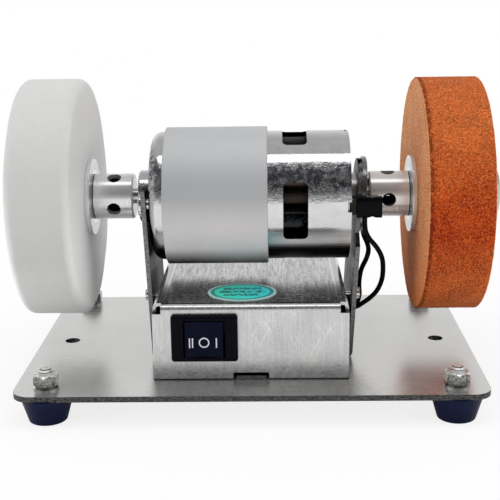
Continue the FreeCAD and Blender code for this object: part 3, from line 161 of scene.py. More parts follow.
# %% Shader arithmetic
class Value:
    """A number that varies over a surface, usable in ordinary arithmetic."""

    def __init__(self, finish, socket):
        self.finish = finish
        self.socket = socket

    def math(self, operation, *others):
        terms = (self, *others)
        return self.finish.node("ShaderNodeMath", {"operation": operation}, dict(enumerate(terms)))

    def __add__(self, other):
        return self.math("ADD", other)

    def __sub__(self, other):
        return self.math("SUBTRACT", other)

    def __mul__(self, other):
        return self.math("MULTIPLY", other)

    def __truediv__(self, other):
        return self.math("DIVIDE", other)

    def __pow__(self, other):
        return self.math("POWER", other)

    def __abs__(self):
        return self.math("ABSOLUTE")

    def __radd__(self, other):
        return self + other

    def __rsub__(self, other):
        return self * -1 + other

    def above(self, edge):
        return self.math("GREATER_THAN", edge)

    def below(self, edge):
        return self.math("LESS_THAN", edge)

    def clamped(self):
        return self.math("MINIMUM", 1.0).math("MAXIMUM", 0.0)

    def ramp(self, low, high):
        """0 at low, 1 at high, straight between."""
        return ((self - low) * (1 / (high - low))).clamped()


def opaque(value):
    """A plain colour with its alpha; anything else as it is."""
    if isinstance(value, tuple) and len(value) == 3:
        return (*value, 1)
    return value


def grey(level):
    return (level, level, level)


def shaded(colour, share):
    """A colour made darker or lighter."""
    return tuple(min(1.0, channel * share) for channel in colour)


class Finish:
    """One material, with the few shapes of node that these finishes need."""

    def __init__(self, name, tree=None):
        if tree is None:
            self.material = bpy.data.materials.new(name)
            self.material.use_nodes = True
            tree = self.material.node_tree
            tree.nodes.clear()
        self.tree = tree

    def node(self, kind, settings, sockets, output=0):
        made = self.tree.nodes.new(kind)
        for name, setting in settings.items():
            setattr(made, name, setting)
        for name, value in sockets.items():
            if isinstance(value, Value):
                self.tree.links.new(value.socket, made.inputs[name])
            else:
                made.inputs[name].default_value = value
        return Value(self, made.outputs[output])

    def place(self):
        """Where the surface is, in millimetres, in the part's own space."""
        metres = self.node("ShaderNodeTexCoord", {}, {}, "Object")
        return self.stretched(metres, (MM, MM, MM))

    def stretched(self, place, along):
        return self.node("ShaderNodeVectorMath", {"operation": "MULTIPLY"}, {0: place, 1: along})

    def split(self, place):
        made = self.tree.nodes.new("ShaderNodeSeparateXYZ")
        self.tree.links.new(place.socket, made.inputs[0])
        return [Value(self, made.outputs[axis]) for axis in range(3)]

    def normal(self):
        """The three parts of the direction that the surface faces."""
        return self.split(self.node("ShaderNodeNewGeometry", {}, {}, "True Normal"))

    def ray(self, kind):
        """1 for rays of one kind, 0 for all others."""
        return self.node("ShaderNodeLightPath", {}, {}, kind)

    def grain(self, place, scale, detail=2.0, rough=0.5):
        """Soft noise from 0 to 1. The scale is features per millimetre."""
        sockets = {"Vector": place, "Scale": scale, "Detail": detail, "Roughness": rough}
        return self.node("ShaderNodeTexNoise", {}, sockets, "Fac")

    def cells(self, place, scale):
        """Three random numbers for each cell of a crystal pattern."""
        sockets = {"Vector": place, "Scale": scale}
        return self.split(self.node("ShaderNodeTexVoronoi", {}, sockets, "Color"))

    def colours(self, factor, low, high):
        """The low colour where the factor is 0, the high one where it is 1."""
        low = opaque(low)
        high = opaque(high)
        return self.node("ShaderNodeMix", {"data_type": "RGBA"}, {0: factor, 6: low, 7: high}, 2)

    def bump(self, height, strength, distance):
        """Relief from a height; the distance is in metres."""
        sockets = {"Height": height, "Strength": strength, "Distance": distance}
        return self.node("ShaderNodeBump", {}, sockets)

    def surface(self, **sockets):
        """Close the material with a Principled surface."""
        named = {name.replace("_", " "): opaque(value) for name, value in sockets.items()}
        self.close(self.node("ShaderNodeBsdfPrincipled", {}, named))
        return self.material

    def close(self, shader, kind="ShaderNodeOutputMaterial"):
        made = self.tree.nodes.new(kind)
        self.tree.links.new(shader.socket, made.inputs["Surface"])


print("shader arithmetic ready")

# %% [markdown]
# The studio is a white table under a large soft lamp. The world lights everything evenly; the
# lens sees it as plain white. Polished metal is a mirror, and a mirror in a white room has no shape, so
# the part of the room behind the camera is left dark: that dark wall, the bright lamp overhead and the
# white table are what make nickel look like nickel. The light on matt surfaces does not change with it.
# Each ramp below takes one part of the direction, so 0 is level with the machine and 1 straight up.

# %% Studio world
WORLD_LIGHT = 0.70
FRONT_WALL = 0.80
DARK_WALL = 0.05
SIDE_WALL = 0.36
LAMP_GLARE = 1.9

world = bpy.data.worlds.new("studio_world")
world.use_nodes = True
world.node_tree.nodes.clear()
bpy.context.scene.world = world
room = Finish("room", world.node_tree)
direction = room.node("ShaderNodeTexCoord", {}, {}, "Generated")
east, north, up = room.split(direction)
behind_camera = (north * -1).ramp(0.00, 0.12)
ceiling = up.ramp(0.925, 0.945) * (north * -1).ramp(0.03, 0.07)
back_ceiling = up.ramp(0.30, 0.80)
sides = abs(east).ramp(0.45, 0.80)
wall_grey = FRONT_WALL - back_ceiling * 0.28
dark_wall = DARK_WALL + (1 - up.ramp(0.14, 0.36)) * 0.30 + up.ramp(0.45, 0.80) * 0.10
mirrored = wall_grey * (1 - behind_camera) + dark_wall * behind_camera
mirrored = mirrored * (1 - sides) + sides * SIDE_WALL
mirrored = mirrored * (1 - ceiling) + ceiling * LAMP_GLARE
seen = room.ray("Is Camera Ray")
glossy = room.ray("Is Glossy Ray")
through = room.ray("Is Transmission Ray")
plain = seen.math("MAXIMUM", through)
strength = plain + (1 - plain) * (glossy * mirrored + (1 - glossy) * WORLD_LIGHT)
background = room.node("ShaderNodeBackground", {}, {"Color": (1, 1, 1, 1), "Strength": strength})
room.close(background, "ShaderNodeOutputWorld")
print("world: matt surfaces get", WORLD_LIGHT)

# %% [markdown]
# Three lamps give matt parts their form: a wide one above and in front, and a weaker one from each side.
# They are large for their distance, so the shadows under the plate are soft. Mirrors do not see them,
# because the room's own ceiling already gives the metal its highlight.

# %% Lamps
LAMP_AIM = (0, 0, 0.05)
LAMP_DEPTH = 0.7  # as a share of its width


def lamp(name, place, width, power):
    data = bpy.data.lights.new(name, "AREA")
    data.shape = "RECTANGLE"
    data.size = width
    data.size_y = width * LAMP_DEPTH
    data.energy = power
    made = bpy.data.objects.new(name, data)
    made.location = place
    made.rotation_euler = (Vector(LAMP_AIM) - Vector(place)).to_track_quat("-Z", "Y").to_euler()
    made.visible_glossy = False
    bpy.context.scene.collection.objects.link(made)
    print(name, power, "W from", place)


lamp("top_softbox", (0.05, -0.10, 0.85), 0.7, 1.5)
lamp("left_softbox", (-0.62, -0.22, 0.30), 0.5, 1.1)
lamp("right_softbox", (0.62, -0.22, 0.30), 0.5, 1.1)

# %% [markdown]
# The floor is a wide white disc. Close to the machine it is a matt white that takes the feet's shadow;
# further out it fades to the plain white of the backdrop for the lens and for mirrors, so no
# horizon line shows. It is staged, not part of the object.

# %% Floor
FLOOR_REACH = 6.0
FADE_START = 0.10
FADE_END = 0.22
NEAR_WHITE = 0.80  # how much of the backdrop's white shows close to the machine

floor_mesh = bpy.data.meshes.new("studio_floor")
shape = bmesh.new()
bmesh.ops.create_circle(shape, cap_ends=True, radius=FLOOR_REACH, segments=96)
shape.to_mesh(floor_mesh)
shape.free()
floor = bpy.data.objects.new("studio_floor", floor_mesh)
floor.location.z = solid_box[0][2]
bpy.context.scene.collection.objects.link(floor)

table = Finish("white_table")
metres = table.node("ShaderNodeTexCoord", {}, {}, "Object")
across, deep, _ = table.split(metres)
reach = (across * across + deep * deep) ** 0.5
fade = reach.ramp(FADE_START, FADE_END)
lens = table.ray("Is Camera Ray")
mirror = table.ray("Is Glossy Ray")
glass = table.ray("Is Transmission Ray")
to_lens = lens * (NEAR_WHITE + fade * (1 - NEAR_WHITE))
to_mirrors = mirror.math("MAXIMUM", glass) * fade
shown = to_lens.math("MAXIMUM", to_mirrors)
matt = table.node("ShaderNodeBsdfDiffuse", {}, {"Color": (0.95, 0.95, 0.95, 1)})
white = table.node("ShaderNodeEmission", {}, {"Color": (1, 1, 1, 1), "Strength": 1.0})
faded = table.node("ShaderNodeMixShader", {}, {0: shown, 1: matt, 2: white})
table.close(faded)
floor_mesh.materials.append(table.material)
print("floor at", round(floor.location.z, 5), "m")

# %% [markdown]
# Sheet steel carries the marks of the rolls and of the brushing wheel: long fine scratches in one
# direction, with slow cloudy patches over them. The scratches come from noise stretched a long way along
# one axis. They change the roughness and a very shallow bump more than they change the colour. A sheared
# edge is torn, so it is rougher than the face, and its dark greys are painted shade. The bracket's colour
# is painted dark for the dark room that its polished steel reflects, wide bands of the same stretched
# noise paint its uneven light, and painted black shade covers the arms' inner faces above the box.

# %% Brushed and rolled sheet
BRUSH_DEPTH = 0.00002
BAND_SHARE = 0.045
SHADE_FADE = 6
INSIDE_ARM = -15  # place times direction, both along x: this low only on the arms' inner faces
BOX_LOW, BOX_HIGH = (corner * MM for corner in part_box("switch_box"))


def facing(finish, axis):
    """How far the surface faces along one axis, from 0 to 1, whichever way round."""
    return abs(finish.normal()[axis])


def brushed(name, colour, along, rough=0.3, streak=0.12, cloud=0.10, cut_axis=None, metallic=1.0,
            span=(0.60, 1.22), broad=0.0, graze=1.0, painted_shade_from=None, torn_shade_greys=(0.02, 0.15)):
    """Brushed metal. `along` stretches the scratches: small numbers run along that axis.

    `span` is how far the colour darkens and lightens, and `broad` adds wide bands of painted light. Sheared
    edges face `cut_axis` and run between the `torn_shade_greys`, which paint their shade. `graze` dims the
    white that a metal takes on when it is seen edge-on. Above the height `painted_shade_from`, faces that
    look at the middle are painted black as shade.
    """
    made = Finish(name)
    place = made.place()
    scratches = made.grain(made.stretched(place, along), 1.0, 4.0, 0.6)
    clouds = made.grain(place, 0.07, 3.0)
    shade = (scratches - 0.5) * streak + (clouds - 0.5) * cloud
    # painted light: wide bands paint uneven light over the bracket's dark colour
    if broad:
        wide = tuple(share * BAND_SHARE for share in along)
        bands = made.grain(made.stretched(place, wide), 1.0, 3.0)
        shade = shade + (bands - 0.5) * broad
    tint = made.colours((shade * 1.4 + 0.62).clamped(), shaded(colour, span[0]), shaded(colour, span[1]))
    roughness = (rough + (scratches - 0.5) * 0.22 + (clouds - 0.5) * 0.12).math("MAXIMUM", 0.06)
    # painted shade: sheared edges take dark greys that stand in for the shade they catch
    if cut_axis is not None:
        face = facing(made, cut_axis)
        sheared = face.above(0.7) if cut_axis == 1 else face.below(0.5)
        tear = made.grain(made.stretched(place, (0.9, 0.9, 2.5)), 1.0, 3.0)
        torn = made.colours(tear.ramp(0.35, 0.7), grey(torn_shade_greys[0]), grey(torn_shade_greys[1]))
        tint = made.colours(sheared, tint, torn)
        roughness = roughness + sheared * 0.22
    # painted shade: above the box, the arms' inner faces are painted black
    if painted_shade_from is not None:
        across, _, tall = made.split(place)
        inward = (across * made.normal()[0]).below(INSIDE_ARM)
        tint = made.colours(inward * tall.ramp(painted_shade_from, painted_shade_from + SHADE_FADE), tint, grey(0.003))
    return made.surface(
        Base_Color=tint, Metallic=metallic, Roughness=roughness,
        Specular_Tint=grey(graze), Normal=made.bump(scratches, 0.25, BRUSH_DEPTH))


ALONG_X = (0.03, 5.0, 5.0)
ALONG_Y = (5.0, 0.03, 5.0)
ALONG_Z = (5.0, 5.0, 0.03)
finishes = {}
finishes["base_plate"] = brushed(
    "brushed_plate", (0.78, 0.78, 0.77), ALONG_X, rough=0.24, streak=0.14, cloud=0.26, cut_axis=2,
    metallic=0.86)
# the bracket's dark colour is painted for the dark room that its polished steel reflects
finishes["motor_bracket"] = brushed(
    "bracket_sheet", grey(0.045), ALONG_Z, rough=0.20, streak=0.6, cut_axis=1, span=(0.10, 8.0),
    broad=3.4, graze=0.25, painted_shade_from=BOX_HIGH.z + 5, torn_shade_greys=(0.13, 0.30))
finishes["motor_end_cap"] = brushed("end_cap_sheet", (0.50, 0.50, 0.49), ALONG_Y)
print("sheet finishes:", ", ".join(finishes))

# %% [markdown]
# The switch box is galvanised sheet that was only roughly brushed: zinc crystals leave a mottled grain,
# darker in the hollows. Cell noise gives the crystals, fine noise the grain between them. The lid has
# streaks from front to back, the upright faces carry upright ones and faint scuffs that cross. Along each
# side of the lid runs a smooth mid-grey strip, closed by a painted highlight line, with painted shade on
# its outer edge. At the front comes a band of painted shade and then the bend, painted pale as a
# highlight. A thin painted shadow marks where the box stands.

# %% Galvanised box
RIM_WIDE = 3.4
RIM_HIGHLIGHT = (3.0, 3.5)
RIM_EDGE_SHADE = 0.7
FRONT_SHADE_WIDE = 2.6
STANDING_LINE = 0.40
SCUFF_SLOPES = (0.7, -0.5)


def galvanised(name):
    made = Finish(name)
    place = made.place()
    across, deep, tall = made.split(place)
    crystal = made.cells(made.stretched(place, (0.9, 1.3, 1.3)), 0.8)[0]
    fine = made.grain(made.stretched(place, (0.9, 1.6, 1.5)), 1.1, 5.0, 0.75)
    clouds = made.grain(place, 0.10, 3.0)
    upright = made.grain(made.stretched(place, (2.5, 2.5, 0.10)), 1.0, 3.0, 0.6)
    drawn = made.grain(made.stretched(place, (1.6, 0.12, 1.6)), 1.0, 3.0, 0.6)
    level = facing(made, 2)
    shade = ((crystal - 0.5) * 0.12 + (fine - 0.5) * (0.8 + level * 2.6) + (clouds - 0.5) * 0.7
             + (upright - 0.5) * (1 - level) * 0.8 + (drawn - 0.5) * level * 3.4)
    tint = made.colours((shade + 0.62).clamped(), (0.34, 0.34, 0.35), (0.76, 0.76, 0.75))
    for slope in SCUFF_SLOPES:
        ends = {0: (across + tall * slope) * 1.3, 1: (tall - across * slope) * 0.07, 2: slope}
        crossing = made.node("ShaderNodeCombineXYZ", {}, ends)
        patches = made.grain(place, 0.14, 1.0).ramp(0.44, 0.64)
        scuffs = made.grain(crossing, 1.0, 2.0).ramp(0.56, 0.76) * patches * (1 - level)
        tint = made.colours(scuffs * 0.42, tint, (0.97, 0.97, 0.96))
    # painted shadow: a thin dark line where the box stands
    tint = made.colours(tall.below(BOX_LOW.z + STANDING_LINE), tint, grey(0.03))
    # along the lid's sides: a smooth mid-grey strip, a painted highlight line, painted shade on the outer
    # edge
    flat = level.above(0.98)
    side_edge = BOX_HIGH.x - abs(across)
    tint = made.colours(flat * side_edge.below(RIM_WIDE) * 0.7, tint, grey(0.60))
    rim_highlight = side_edge.above(RIM_HIGHLIGHT[0]) * side_edge.below(RIM_HIGHLIGHT[1])
    tint = made.colours(flat * rim_highlight * 0.8, tint, grey(0.95))
    tint = made.colours(flat * side_edge.below(RIM_EDGE_SHADE), tint, grey(0.04))
    # painted shade: a dark band behind the front bend
    front_edge = deep - BOX_LOW.y
    tint = made.colours(flat * front_edge.below(FRONT_SHADE_WIDE), tint, grey(0.05))
    # painted highlight: the bends are painted pale
    bend_highlight = level.above(0.12) * level.below(0.97)
    tint = made.colours(bend_highlight * 0.8, tint, grey(0.90))
    rough = 0.30 - level * 0.10 + (fine - 0.5) * 0.3 + (crystal - 0.5) * 0.10
    return made.surface(
        Base_Color=tint, Metallic=0.94, Roughness=rough.math("MAXIMUM", 0.12),
        Normal=made.bump(fine, 0.35, 0.00004))


finishes["switch_box"] = galvanised("galvanised_sheet")
print("box finish ready")

# %% [markdown]
# The motor can is drawn steel with bright nickel over it. Drawing leaves a faint orange-peel, which breaks
# the dark reflections into specks without dulling the bright ones. A shallow bump of short noise does
# that. Just above the can's widest line a band is dulled in specks and darkened with bluish smudges. The
# underside is rougher and painted dark as shade, and the inside is painted near-black shade, so the
# windows show depth.

# %% Nickel can
AXIS_LEVEL = (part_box("motor_shaft")[0].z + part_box("motor_shaft")[1].z) / 2
CAN_RADIUS = (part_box("motor_can")[1].z - AXIS_LEVEL) * MM
CAN_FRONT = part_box("motor_can")[0].x * MM
CAN_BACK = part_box("motor_can")[1].x * MM
CAN_WALL = 0.35
NICKEL = (0.70, 0.70, 0.705)
POLISH = 0.05


def nickel(name):
    made = Finish(name)
    place = made.place()
    along, side, tall = made.split(place)
    tall = tall - AXIS_LEVEL * MM
    inside = (side * side + tall * tall).below((CAN_RADIUS - CAN_WALL) ** 2)
    inside = inside * along.above((CAN_FRONT + CAN_BACK) / 2) * along.below(CAN_BACK - 1)
    orange_peel = made.grain(place, 0.8, 2.0, 0.5)
    specks = made.grain(place, 2.0, 2.0, 0.6)
    stain = made.grain(place, 0.25, 3.0)
    smudge = made.grain(place, 0.5, 4.0, 0.7)
    lift = made.normal()[2]
    drop = lift * -1
    tint = made.colours(stain.ramp(0.35, 0.75), NICKEL, shaded(NICKEL, 0.86))
    # painted shade: the underside is darkened
    tint = made.colours(drop.ramp(0.58, 0.68), tint, (0.035, 0.035, 0.037))
    # painted shade: the inside of the can is near-black
    tint = made.colours(inside, tint, (0.012, 0.013, 0.012))
    # just above the widest line: dull specks and bluish dark smudges
    upper_band = lift.ramp(0.02, 0.16) * (1 - lift.ramp(0.58, 0.68))
    bluish_smudges = upper_band * smudge.ramp(0.44, 0.56) * lift.ramp(0.10, 0.32)
    tint = made.colours(bluish_smudges * 0.8, tint, (0.07, 0.08, 0.12))
    dull = specks.ramp(0.48, 0.58) * 0.45 * upper_band
    rougher_below = drop.ramp(0.25, 0.45) * 0.30
    roughness = (POLISH + (stain - 0.5) * 0.05 + dull + rougher_below).math("MAXIMUM", 0.03)
    relief = (orange_peel + specks * 0.6) * (upper_band + 0.15)
    return made.surface(
        Base_Color=tint, Metallic=1.0, Roughness=roughness,
        Normal=made.bump(relief, 1.0, 0.00009))


finishes["motor_can"] = nickel("bright_nickel")
print("can radius", round(CAN_RADIUS, 2), "mm")

# %% [markdown]
# The thick ring around the can is zinc with a satin coat: much rougher, hardly any pattern, and nearly
# as pale as paint. Light and shade are painted into its colour by the way each strip faces: full on top,
# duller at the sides, painted pale where it looks down at the bright box, and painted dark as shade close
# over it. Above the label it takes a painted trace of red, which balances the teal that the label throws
# up at it.

# %% Satin ring
LABEL_LOW, LABEL_HIGH = (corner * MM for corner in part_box("box_label"))
LABEL_GLOW_REACH = 17
RING_ZINC = (0.52, 0.53, 0.54)


def satin(name):
    made = Finish(name)
    place = made.place()
    across, deep, _ = made.split(place)
    fine = made.grain(place, 2.5, 3.0)
    clouds = made.grain(place, 0.08, 2.0)
    lift = made.normal()[2]
    drop = lift * -1
    # painted light and shade: duller sides, pale bounce looking down at the box, dark shade close over it
    tint = made.colours(lift.ramp(0.35, 0.85), shaded(RING_ZINC, 0.80), RING_ZINC)
    tint = made.colours(drop.ramp(-0.15, 0.60), tint, (0.84, 0.80, 0.81))
    tint = made.colours(drop.ramp(0.62, 0.90), tint, (0.06, 0.06, 0.075))
    # painted counter-light: a red trace over the label balances its teal bounce
    label_middle = (LABEL_LOW.x + LABEL_HIGH.x) / 2
    over_label = 1 - (abs(across - label_middle) / LABEL_GLOW_REACH).clamped()
    balance = over_label * deep.below(0) * drop.ramp(0.05, 0.55) * 0.35
    tint = made.colours(balance, tint, (0.86, 0.66, 0.68))
    marks = (clouds * 0.7 + fine * 0.3).ramp(0.3, 0.7) * 0.07
    tint = made.colours(marks, tint, grey(0.1))
    return made.surface(
        Base_Color=tint, Metallic=0.12, Roughness=(0.50 + (fine - 0.5) * 0.12).clamped(),
        Normal=made.bump(fine, 0.12, 0.00003))


finishes["flux_ring"] = satin("satin_zinc_ring")
print("motor finishes ready")

# %% [markdown]
# Turned and machined parts keep the tool's rings around their axis. For a part that turns about X the
# rings change along X on its barrel and along the radius on its faces, so both go into one wave. A hub
# is a barrel with a flange: the flange's face is darker, its rim is lighter again, and a thin dark
# line of painted shade sits in the corner where barrel and flange meet.

# %% Turned metal
FLANGE_THICK = 1.6
FLANGE_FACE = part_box("orange_abrasive_wheel")[0].x * MM - FLANGE_THICK
FLANGE_RADIUS = (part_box("right_hub")[1].z - AXIS_LEVEL) * MM
FLANGE_START = FLANGE_RADIUS * 0.7
FLANGE_RIM = 0.55
CORNER_SHADE_LINE = (0.45, 0.05)


def turned(name, colour, rough, ring=9.0, depth=0.000012, flanged=False, metallic=1.0):
    made = Finish(name)
    place = made.place()
    along, side, tall = made.split(place)
    tall = tall - AXIS_LEVEL * MM
    radius = (side * side + tall * tall) ** 0.5
    rings = ((along * 0.9 + radius) * ring).math("SINE")
    wear = made.grain(place, 0.35, 3.0)
    marks = made.grain(made.stretched(place, (3.0, 0.6, 0.6)), 1.0, 3.0)
    shade = (rings * 0.06 + (wear - 0.5) * 0.5 + (marks - 0.5) * 0.35 + 0.6).clamped()
    tint = made.colours(shade, shaded(colour, 0.72), colour)
    if flanged:
        tint = made.colours(radius.above(FLANGE_START), tint, shaded(colour, 0.62))
        # painted shade: a thin dark line in the corner where barrel and flange meet
        out = abs(along)
        corner = out.above(FLANGE_FACE - CORNER_SHADE_LINE[0]) * out.below(FLANGE_FACE - CORNER_SHADE_LINE[1])
        tint = made.colours(corner * radius.below(FLANGE_START), tint, grey(0.03))
        tint = made.colours(radius.above(FLANGE_RADIUS - FLANGE_RIM), tint, shaded(colour, 0.85))
    roughness = (rough + (wear - 0.5) * 0.16 + rings * 0.03).math("MAXIMUM", 0.05)
    return made.surface(
        Base_Color=tint, Metallic=metallic, Roughness=roughness,
        Normal=made.bump(rings + marks, 0.2, depth))


aluminium = turned("turned_aluminium", grey(0.90), 0.22, ring=26.0, depth=0.000002, flanged=True,
                   metallic=0.68)
finishes["left_hub"] = aluminium
finishes["right_hub"] = aluminium
finishes["motor_shaft"] = turned("ground_shaft", grey(0.68), 0.12, ring=14.0)
finishes["clamp_washers"] = turned("clamp_washer_steel", (0.66, 0.66, 0.65), 0.28)
finishes["arbor_nuts"] = turned("arbor_nut_steel", (0.66, 0.66, 0.64), 0.26)
finishes["front_bearing"] = turned("ground_bearing", grey(0.62), 0.15)
finishes["rear_bearing"] = finishes["front_bearing"]
print("turned finishes:", sum(1 for value in finishes.values() if value is aluminium), "hubs share one")

# %% [markdown]
# Screws, nuts and washers are bright zinc with a trace of yellow and small dark scuffs where tools
# touched them. The nuts on the feet have their upright faces painted dark as shade, with chips of bright
# plating, and the studs that come through them carry dark lines of painted shade where the grooves fall,
# one for each turn of the thread. The washer around the motor's boss is steel whose colour is painted
# near-black as shade: glossy and still a metal.

# %% Fasteners
FOOT_THREAD_PITCH = 0.9


def zinc(name, colour=(0.80, 0.80, 0.77), scuff=0.5, pitch=None, metallic=1.0, wall_shade=None):
    """Zinc plate. `wall_shade` paints shade on upright faces, `pitch` paints the shade of an upright
    thread's grooves.
    """
    made = Finish(name)
    place = made.place()
    marks = made.grain(place, 1.6, 4.0, 0.7)
    tint = made.colours(marks.ramp(0.48, 0.62) * scuff, colour, shaded(colour, 0.25))
    # painted shade: upright faces are darkened, with bright chips
    if wall_shade is not None:
        upright = facing(made, 2).below(0.25)
        tint = made.colours(upright, tint, shaded(colour, wall_shade))
        chipped = made.grain(place, 2.4, 3.0).ramp(0.45, 0.6) * upright * 0.4
        tint = made.colours(chipped, tint, colour)
    # painted shade: dark lines where the thread's grooves fall
    if pitch is not None:
        groove_shade = (made.split(place)[2] * (2 * math.pi / pitch)).math("SINE").ramp(0.1, 0.8)
        tint = made.colours(groove_shade * 0.92 * (1 - facing(made, 2).above(0.9)), tint, grey(0.02))
    return made.surface(
        Base_Color=tint, Metallic=metallic,
        Roughness=(0.08 + marks * 0.14).clamped(),
        Normal=made.bump(marks, 0.2, 0.00003))


def shaded_steel(name, colour, rough):
    made = Finish(name)
    place = made.place()
    marks = made.grain(place, 1.2, 4.0, 0.65)
    tint = made.colours(marks.ramp(0.35, 0.8), colour, shaded(colour, 2.4))
    return made.surface(
        Base_Color=tint, Metallic=0.9, Roughness=(rough + (marks - 0.5) * 0.2).clamped(),
        Normal=made.bump(marks, 0.15, 0.00003))


plated = zinc("bright_zinc")
for name in ("foot_washers", "bracket_screws", "bracket_nuts",
             "cover_screws", "cover_nuts", "motor_screws", "inlet_nut"):
    finishes[name] = plated
finishes["foot_nuts"] = zinc("scuffed_nut_zinc", (0.92, 0.92, 0.90), scuff=0.95, metallic=0.5, wall_shade=0.12)
finishes["foot_bolts"] = zinc("bright_zinc_thread", (0.90, 0.90, 0.88), pitch=FOOT_THREAD_PITCH,
                              metallic=0.5)
finishes["foot_lock_washers"] = zinc("lock_washer_zinc", (0.30, 0.30, 0.29))
# painted shade: the washer's near-black colour stands in for the shade it sits in
finishes["boss_washer"] = shaded_steel("boss_washer_shaded_steel", (0.16, 0.16, 0.17), 0.16)
print("fastener finishes ready")

# %% [markdown]
# Moulded parts differ in gloss: the switch is polished, the inlet and grommet are matt, and the feet are
# navy-black rubber with a bloom in patches. A faint moulded texture sits on each. The set screws sit
# deep in their holes, where no light comes back, so they take a black with no shine.

# %% Plastic and rubber
def moulded(name, colour, rough, texture=0.15, scale=1.4, bloom=1.6, shine=0.2, bend=1.5):
    made = Finish(name)
    place = made.place()
    fine = made.grain(place, scale, 3.0)
    patch = made.grain(place, 0.15, 2.0)
    tint = made.colours((patch * 0.6 + fine * 0.4).ramp(0.35, 0.75), colour, shaded(colour, bloom))
    return made.surface(
        Base_Color=tint, Roughness=(rough + (fine - 0.5) * 0.14).clamped(),
        Specular_IOR_Level=shine, IOR=bend,
        Normal=made.bump(fine, texture, 0.00004))


finishes["rubber_feet"] = moulded("navy_rubber", (0.001, 0.003, 0.018), 0.36, 0.35, bloom=2.6, shine=0.12)
finishes["switch_housing"] = moulded("switch_polished_black", (0.002, 0.002, 0.004), 0.22, 0.04, shine=0.05)
finishes["switch_rocker"] = moulded("rocker_polished_black", (0.002, 0.003, 0.012), 0.26, 0.04, shine=0.05)
finishes["inlet_jack"] = moulded("inlet_matt_black", grey(0.02), 0.5)
finishes["wire_grommet"] = moulded("grommet_rubber", grey(0.015), 0.5)
finishes["left_set_screws"] = moulded("set_screw_black", grey(0.002), 0.8, shine=0.0, bend=1.0)
finishes["right_set_screws"] = finishes["left_set_screws"]
wire_finish = moulded("wire_insulation", grey(0.002), 0.25, 0.03, shine=0.10)
shrink_finish = moulded("shrunk_tube", (0.002, 0.002, 0.003), 0.25, 0.2, 0.8, shine=0.07)
for wire in (front_lead, rear_lead, supply_lead):
    wire.data.materials.append(wire_finish)
print("moulded finishes ready")

# %% [markdown]
# Inside the motor's windows the brushes, the copper bars and the windings show. They sit in the can's
# shade, so the bars, the brass holders and the windings are painted near-black as shade, the windings a
# little redder; the windings are wire laid side by side, so a wave runs around them.

# %% Inside the motor
def wound_copper(name):
    made = Finish(name)
    place = made.place()
    along, side, tall = made.split(place)
    wires = ((along + side * 2.2 + tall * 1.3) * 6.0).math("SINE")
    fine = made.grain(place, 1.0, 3.0)
    # painted shade: the windings are darkened for the can's shade
    tint = made.colours((wires * 0.35 + fine).ramp(0.1, 0.9), (0.06, 0.02, 0.01), (0.22, 0.08, 0.035))
    return made.surface(
        Base_Color=tint, Metallic=0.8, Roughness=0.32,
        Normal=made.bump(wires, 0.6, 0.0002))


def matt_block(name, colour, rough, scale=2.0, metallic=0.0):
    made = Finish(name)
    place = made.place()
    fine = made.grain(place, scale, 4.0, 0.7)
    tint = made.colours(fine.ramp(0.3, 0.7), shaded(colour, 0.7), shaded(colour, 1.3))
    return made.surface(
        Base_Color=tint, Metallic=metallic, Roughness=(rough + (fine - 0.5) * 0.2).clamped(),
        Normal=made.bump(fine, 0.3, 0.00005))


finishes["armature_windings"] = wound_copper("enamelled_copper")
# painted shade: the copper bars are near-black for the can's shade
finishes["commutator"] = turned("commutator_bars", (0.045, 0.035, 0.03), 0.30)
finishes["carbon_brushes"] = matt_block("graphite", (0.05, 0.05, 0.052), 0.5, metallic=0.2)
# painted shade: the brass holders are near-black for the can's shade
finishes["brush_holders"] = matt_block("pressed_brass", (0.07, 0.065, 0.05), 0.3, 1.0, 1.0)
finishes["brush_springs"] = matt_block("spring_wire", grey(0.60), 0.25, 1.0, 1.0)
finishes["field_magnets"] = matt_block("sintered_ferrite", (0.012, 0.012, 0.013), 0.6)
finishes["armature_core"] = matt_block("laminated_core", (0.14, 0.14, 0.15), 0.4, 1.5, 1.0)
# painted shade: tinned terminals and tags sit in shade, so their colour is near-black
tinned = matt_block("tinned_brass", (0.03, 0.028, 0.022), 0.36, 1.0, 1.0)
for name in ("motor_terminals", "switch_terminals", "inlet_tags"):
    finishes[name] = tinned
print(len(finishes), "parts have a finish so far")

# %% [markdown]
# The label is a printed oval under clear film. Its ground runs from green on the left to cyan on the
# right, with a dark border and a pale rim. Three rows of dark dashes stand for the print, and nobody can
# read them. The rim and the border are bands at one distance from the oval's middle, measured in the
# oval's own proportions, so the label's own box gives all the sizes.

# %% Box label
RIM_START = 0.91
BORDER_START = 0.79
ROW_HALF = 0.12
ROW_SPACING = 0.36

middle = (LABEL_LOW + LABEL_HIGH) / 2
half = (LABEL_HIGH - LABEL_LOW) / 2
label = Finish("teal_label")
place = label.place()
across, deep, _ = label.split(place)
along = (across - middle.x) / half.x
other = (deep - middle.y) / half.y
reach = (along * along + other * other) ** 0.5
rim = reach.ramp(RIM_START, RIM_START + 0.02)
border = reach.ramp(BORDER_START, BORDER_START + 0.04) * (1 - rim)
outer_rows = abs(abs(other) - ROW_SPACING).below(ROW_HALF) * abs(along).below(0.55)
middle_row = abs(other).below(ROW_HALF) * abs(along).below(0.66)
strokes = label.grain(label.stretched(place, (1.5, 0.8, 1.0)), 1.0, 2.0)
dashes = strokes.above(0.47) * (outer_rows + middle_row).clamped()
fine = label.grain(place, 1.2, 3.0)
rightward = (along * 0.5 + 0.5 + (fine - 0.5) * 0.4).clamped()
teal = label.colours(rightward, (0.05, 0.84, 0.56), (0.03, 0.80, 0.84))
teal = label.colours(dashes * 0.95, teal, (0.003, 0.06, 0.11))
teal = label.colours(border * 0.8, teal, (0.005, 0.16, 0.20))
teal = label.colours(rim, teal, (0.48, 0.74, 0.70))
